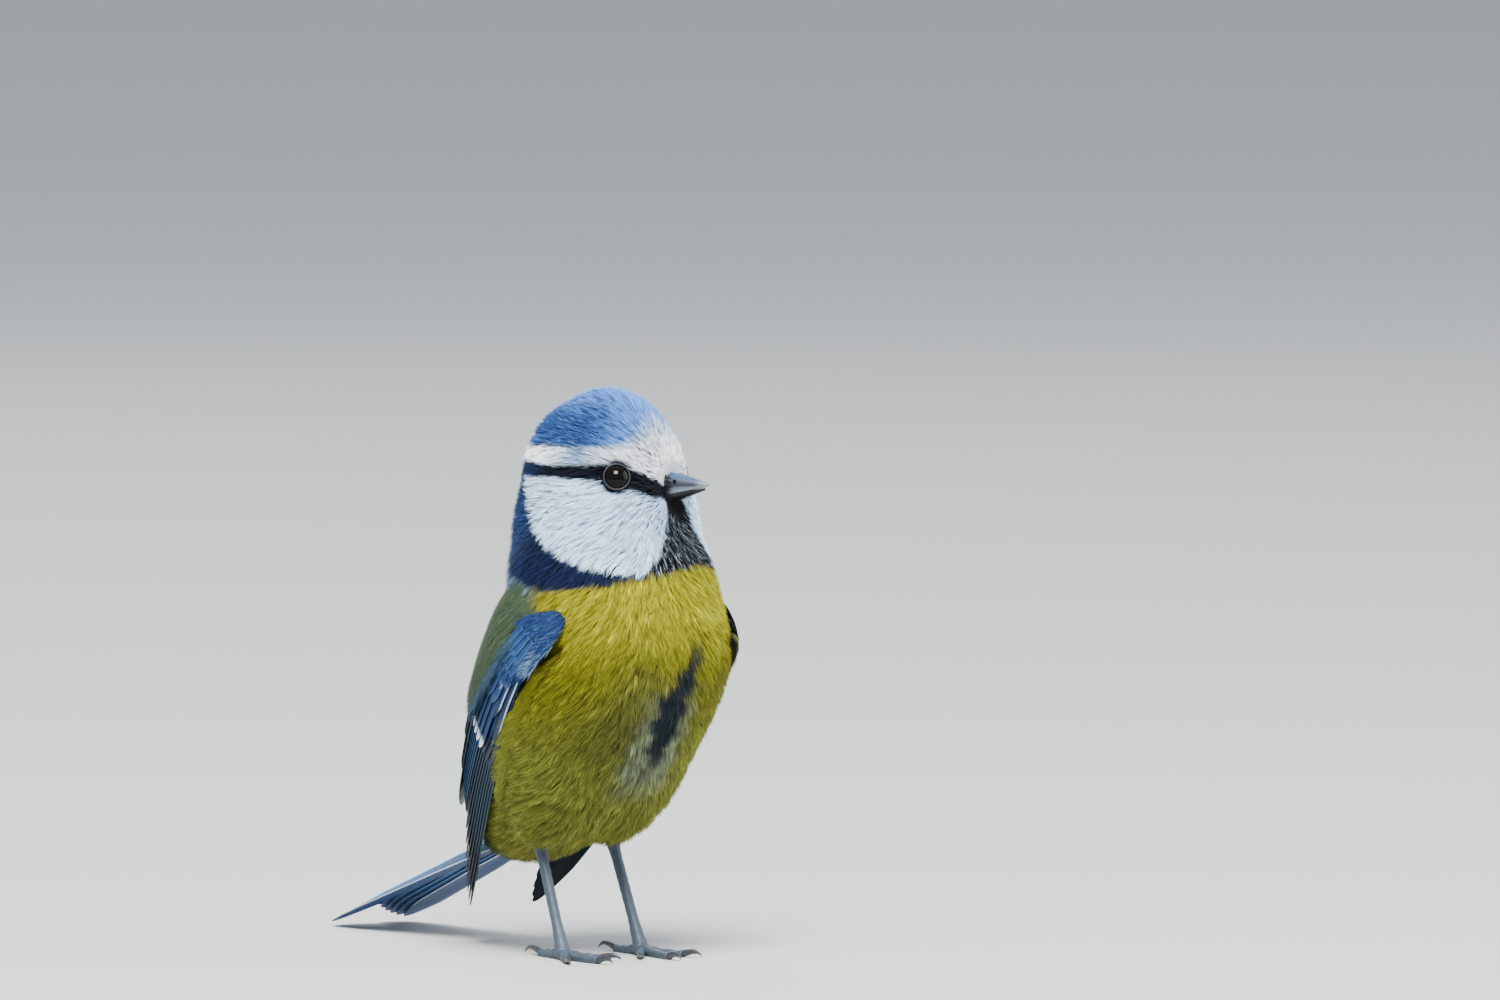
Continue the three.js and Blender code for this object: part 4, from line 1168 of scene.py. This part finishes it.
# %% Bill
BILL_ROOT = 9.2
UPPER_TIP = 17.6
LOWER_TIP = 16.9
BILL_HALF_WIDTH = 2.55
NOSTRIL_RADIUS = 0.26


def culmen_height(forward):
    """Height of the ridge: it falls ever faster toward the tip."""
    return 3.35 - 0.052 * np.maximum(forward - BILL_ROOT, 0) ** 1.65


def mouth_height(forward):
    """Height of the straight line where the halves meet."""
    return -0.35 + 0.215 * (forward - 10.0)


def chin_height(forward):
    """Height of the lower edge, which rises toward the tip."""
    return -2.25 + 0.375 * (forward - BILL_ROOT)


def bill_half(tip, far_height, mouth_offset):
    """Lattice of one half, the share t along it and the rise from mouth (0) to far edge (1)."""
    t, phi = np.meshgrid(1 - (1 - np.linspace(0, 1, 40)) ** 1.5,
                         np.linspace(0, 2 * math.pi, 36, endpoint=False), indexing="ij")
    forward = mix(BILL_ROOT, tip, t)
    mouth = mouth_height(forward) + mouth_offset
    height = far_height(forward) - mouth
    height = np.sign(height) * np.maximum(np.abs(height), 0.1)
    half_width = BILL_HALF_WIDTH * (1 - t) ** 0.8 + 0.05
    rise = np.sin(phi)
    lift = np.where(rise > 0, height * np.abs(rise) ** 0.9, 0.03 * height * rise)
    return head_point(half_width * np.cos(phi), forward, mouth + lift), t, np.clip(rise, 0, 1)


def upper_tint(t, rise):
    """Grey-blue ridge, darker side, pale cutting edge and tip, dusky base."""
    sides = np.broadcast_to(to_linear("20262e"), (*t.shape, 3))
    color = layer(sides, to_linear("394c6c"), smooth(rise, 0.5, 1.0))
    edge = (1 - smooth(rise, 0.08, 0.26)) * smooth(t, 0.1, 0.4)
    color = layer(color, to_linear("7c858e"), edge * 0.8)
    color = layer(color, to_linear("6d757d"), smooth(t, 0.7, 0.97) * 0.8)
    return layer(color, to_linear("23272e"), (1 - smooth(t, 0.15, 0.4)) * 0.6)


def lower_tint(t, rise):
    """Nearly black, with a thin pale line along the mouth."""
    horn = np.broadcast_to(to_linear("08090a"), (*t.shape, 3))
    edge = (1 - smooth(rise, 0.05, 0.3)) * smooth(t, 0.1, 0.4)
    color = layer(horn, to_linear("1d2125"), edge)
    return layer(color, to_linear("2a2e33"), smooth(t, 0.7, 0.98) * 0.6)


def nostril(sign):
    """A small ball at the side of the upper bill's base, nearly black as painted shade inside the nostril.
    """
    place = head_point(1.62 * sign, 12.5, 2.0)
    axis = unit(HEAD_SIDE * sign + UP * 0.4)
    return ball(place, NOSTRIL_RADIUS, 10, 14, axis)


bill_material = plumage_material("bill horn", 0.36, 0.28, 0.0, 0.05)
# Nearly black: painted shade inside the nostril's opening.
nostril_shade_material, _ = new_material("nostril painted shade", 0.9, 0.1, "0d0f12")
for name, tip, far, offset, tint_of, slot_name in (
    ("upper", UPPER_TIP, culmen_height, 0.0, upper_tint, "bill"),
    ("lower", LOWER_TIP, chin_height, -0.12, lower_tint, "bill_under"),
):
    lattice, t, rise = bill_half(tip, far, offset)
    if name == "lower":
        # its height is below zero, so its columns are turned to face out
        lattice, t, rise = lattice[:, ::-1], t[:, ::-1], rise[:, ::-1]
    points, faces = join_lattices([lattice])
    tint = tint_of(t, rise).reshape(-1, 3)
    piece = make_mesh(f"bill_half_{name}", points, faces, bill_material, tint)
    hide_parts(f"bill_{name}")
points, faces = join_lattices([nostril(1), nostril(-1)])
make_mesh("nostrils", points, faces, nostril_shade_material)
print("bill from", BILL_ROOT, "to", UPPER_TIP, "mm ahead of the head's centre")

# %% [markdown]
# ## Bristles
#
# Fine dark bristles grow in front of the eyes and lie forward over the base of the bill.

# %% Bristles at the bill
BRISTLES = 260
BRISTLE_WIDTH = 0.09


def bristles(count):
    """Points of strips (bristles x 5 x 3), rooted round the sides of the bill's base."""
    sign = random.choice([-1.0, 1.0], count)
    height = random.uniform(-0.9, 2.9, count)
    side = sign * (2.75 - 0.32 * np.maximum(height - 1.0, 0) ** 1.3)
    root = head_point(side, random.uniform(9.8, 10.8, count), height)
    along = unit(HEAD_FORWARD + HEAD_SIDE * (sign * random.uniform(-0.1, 0.16, count))[:, None]
                 + UP * random.uniform(-0.25, 0.1, count)[:, None])
    long = random.uniform(1.4, 2.7, count)[:, None]
    across = unit(np.cross(along, HEAD_SIDE)) * BRISTLE_WIDTH / 2
    middle = root + along * long * BARB_BEND
    rows = [root - across, root + across, middle - across, middle + across, root + along * long]
    return np.stack(rows, axis=1)


strips = bristles(BRISTLES)
tint = np.broadcast_to(to_linear("0c1017"), (len(strips) * 5, 3))
center = random.uniform(0.05, 0.95, (len(strips), 2))
patch = strip_patch(center, random.uniform(-1, 1, len(strips)))
faces = strip_faces(len(strips))
piece = make_mesh("coat_bristles", strips.reshape(-1, 3), faces, coat_material, tint, patch)
print("bristles:", len(strips))

# %% [markdown]
# ## Legs and claws
#
# A rod is a row of rings along a path. Low rings of scale are swellings of its radius. Toes
# lie on the floor, three forward and one back, each with a curved claw.

# %% Legs, toes and claws
ANKLE_SPREAD = 6.5
FOOT_SPREAD = 7.0
ANKLE = np.array([9.0, 17.6])
FOOT_JOINT = np.array([1.5, 2.0])
TARSUS_RADIUS = 0.85
TOE_LIFT = 0.5
# heading from straight forward in degrees, toe length, claw length, girth
TOES = {
    "middle": (4, 9.0, 4.4, 1.0),
    "inner": (33, 6.5, 3.8, 0.92),
    "outer": (-27, 7.5, 3.8, 0.92),
    "hind": (178, 6.5, 5.6, 1.05),
}


def rod(path, radii, sides=16, flatten=1.0):
    """Rings of given radii along a path, as one lattice that faces out."""
    along = unit(np.gradient(path, axis=0))
    steep = np.abs(along[:, 2:]) > 0.8
    guide = np.where(steep, np.array([0.0, 1.0, 0.0]), UP)
    side = unit(np.cross(along, guide))
    over = np.cross(side, along)
    phi = np.linspace(0, 2 * math.pi, sides, endpoint=False)[None, :, None]
    ring = np.cos(phi) * side[:, None] + flatten * np.sin(phi) * over[:, None]
    return (path[:, None] + radii[:, None, None] * ring)[:, ::-1]


def foot_center(sign):
    """Where the toes of one foot meet."""
    return np.array([sign * FOOT_SPREAD, FOOT_JOINT[0], TOE_LIFT])


def toe_direction(heading, sign):
    """Level direction of a toe; the heading turns toward the other foot."""
    turn = math.radians(heading)
    return np.array([-sign * math.sin(turn), -math.cos(turn), 0.0])


def above_floor(lattice):
    """Flattens what would reach below the floor."""
    lattice[..., 2] = np.maximum(lattice[..., 2], 0.0)
    return lattice


def shin_lattice(sign):
    """The shin's lower end and the scaled shank: t < 0.2 above the ankle, then to the toes."""
    ankle = np.array([sign * ANKLE_SPREAD, *ANKLE])
    knee = ankle + [0, -3.0, 3.4]
    foot = np.array([sign * FOOT_SPREAD, *FOOT_JOINT])
    t = np.linspace(0, 1, 90)[:, None]
    shank = mix(ankle, foot - [0, 0, 0.7], (t - 0.2) / 0.8)
    path = np.where(t < 0.2, mix(knee, ankle, t / 0.2), shank)
    t = t[:, 0]
    radii = TARSUS_RADIUS * np.interp(t, [0, 0.2, 0.35, 0.8, 1.0], [1.5, 1.3, 0.95, 0.92, 1.3])
    scutes = 1 + 0.05 * np.abs(np.sin(math.pi * t * 13)) * smooth(t, 0.2, 0.3)
    return rod(path, radii * scutes)


def toe_lattice(heading, length, girth, sign):
    """A toe on the floor, with three pads under it and nine rows of scale over it."""
    t = np.linspace(0, 1, 48)
    direction = toe_direction(heading, sign)
    path = foot_center(sign) + direction * (length * t)[:, None] + UP * (0.9 * (1 - t) ** 4)[:, None]
    pads = 1 + 0.1 * np.cos(6 * math.pi * t)
    scales = 1 + 0.04 * np.abs(np.sin(math.pi * t * 9))
    return above_floor(rod(path, 0.8 * girth * mix(1, 0.72, t) * pads * scales))


def claw_lattice(heading, length, claw, sign):
    """A claw that rises off the toe's end and curves down to a point."""
    t = np.linspace(0, 1, 28)
    reach = length + 0.1 + claw * 0.86 * np.sin(t * 1.35)
    height = TOE_LIFT + 0.1 + 0.55 * np.sin(t * math.pi) * claw / 4 - 0.4 * t
    path = foot_center(sign) + toe_direction(heading, sign) * reach[:, None]
    path[:, 2] = height
    return above_floor(rod(path, np.maximum(0.5 * (1 - t) ** 0.8, 0.05), 14, 1.15))


scale_material, _ = new_material("blue-grey scaled skin", 0.5, 0.4, "38434f")
claw_material, _ = new_material("claw horn", 0.35, 0.5, "2c2e33")
for side, sign in (("left", 1), ("right", -1)):
    lattices = [shin_lattice(sign)]
    pad = above_floor(ball(foot_center(sign) + [0, 0, 0.5], 1.3, 18, 24))
    lattices.append(pad)
    for heading, length, claw, girth in TOES.values():
        lattices.append(toe_lattice(heading, length, girth, sign))
    points, faces = join_lattices(lattices)
    leg = make_mesh(f"shank_and_toes_{side}", points, faces, scale_material)
    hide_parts(f"leg_{side}")
    points, faces = join_lattices([claw_lattice(h, n, c, sign) for h, n, c, _ in TOES.values()])
    claws = make_mesh(f"claws_{side}", points, faces, claw_material)
    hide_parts(*[f"claw_{toe}_{side}" for toe in TOES])
print("toes on each foot:", len(TOES))

# %% [markdown]
# ## Stage, light and camera
#
# A plain pale floor runs out of sight. A broad soft light comes from above and in front,
# as under a bright cloudy sky. The camera stands three metres off with a long lens, a
# little above the bird, and frames it as the photograph does.

# %% Stage
PHOTO_SCALE = 6.6
PHOTO_SIZE = (1500, 1000)
BIRD_IN_PHOTO = (607, 958)
CAMERA_AZIMUTH = math.radians(-33)
CAMERA_ELEVATION = math.radians(4)
CAMERA_DISTANCE = 3000.0
FLOOR_METRES = 30
SENSOR_WIDTH = 36.0

bpy.ops.mesh.primitive_plane_add(size=FLOOR_METRES, location=(0, 0, 0))
floor = bpy.context.active_object
floor.name = "floor"
floor_material, _ = new_material("pale floor", 0.9, 0.1, "b4b5b2")
floor.data.materials.append(floor_material)

world = bpy.data.worlds.new("soft sky")
bpy.context.scene.world = world
world.use_nodes = True
sky = world.node_tree.nodes["Background"]
sky.inputs["Color"].default_value = (0.76, 0.86, 1.0, 1.0)
sky.inputs["Strength"].default_value = 0.9


LIT_PLACE = (0, 0, 50)


def soft_light(name, place, size, power, color):
    """A square area light turned to the bird's middle; places in millimetres."""
    light = bpy.data.lights.new(name, "AREA")
    light.size = size * MM
    light.energy = power
    light.color = color
    lamp = bpy.data.objects.new(name, light)
    lamp.location = np.array(place) * MM
    away = np.array(place, float) - np.array(LIT_PLACE, float)
    lamp.rotation_euler = Vector(away).to_track_quat("Z", "Y").to_euler()
    bpy.context.scene.collection.objects.link(lamp)


soft_light("key", (-450, -700, 1300), 700, 84.0, (1.0, 0.99, 0.97))
soft_light("fill", (1100, -700, 500), 1100, 13.0, (0.92, 0.96, 1.0))
soft_light("rim", (300, 1100, 900), 700, 8.0, (1.0, 1.0, 1.0))

right = np.array([math.cos(CAMERA_AZIMUTH), math.sin(CAMERA_AZIMUTH), 0.0])
over = np.array([-math.sin(CAMERA_AZIMUTH) * math.sin(CAMERA_ELEVATION),
                 math.cos(CAMERA_AZIMUTH) * math.sin(CAMERA_ELEVATION), math.cos(CAMERA_ELEVATION)])
toward = np.cross(right, over)
across_mm = (PHOTO_SIZE[0] / 2 - BIRD_IN_PHOTO[0]) / PHOTO_SCALE
over_mm = (BIRD_IN_PHOTO[1] - PHOTO_SIZE[1] / 2) / PHOTO_SCALE
aim = SHIFT + right * across_mm + over * over_mm
camera_data = bpy.data.cameras.new("camera")
camera_data.sensor_width = SENSOR_WIDTH
camera_data.lens = SENSOR_WIDTH * CAMERA_DISTANCE / (PHOTO_SIZE[0] / PHOTO_SCALE)
camera_data.clip_end = 100
camera = bpy.data.objects.new("camera", camera_data)
camera.location = (aim + toward * CAMERA_DISTANCE) * MM
camera.rotation_euler = (math.pi / 2 - CAMERA_ELEVATION, 0, CAMERA_AZIMUTH)
bpy.context.scene.collection.objects.link(camera)
bpy.context.scene.camera = camera
print("camera at", np.round(np.array(camera.location), 3), "lens", round(camera_data.lens, 1))
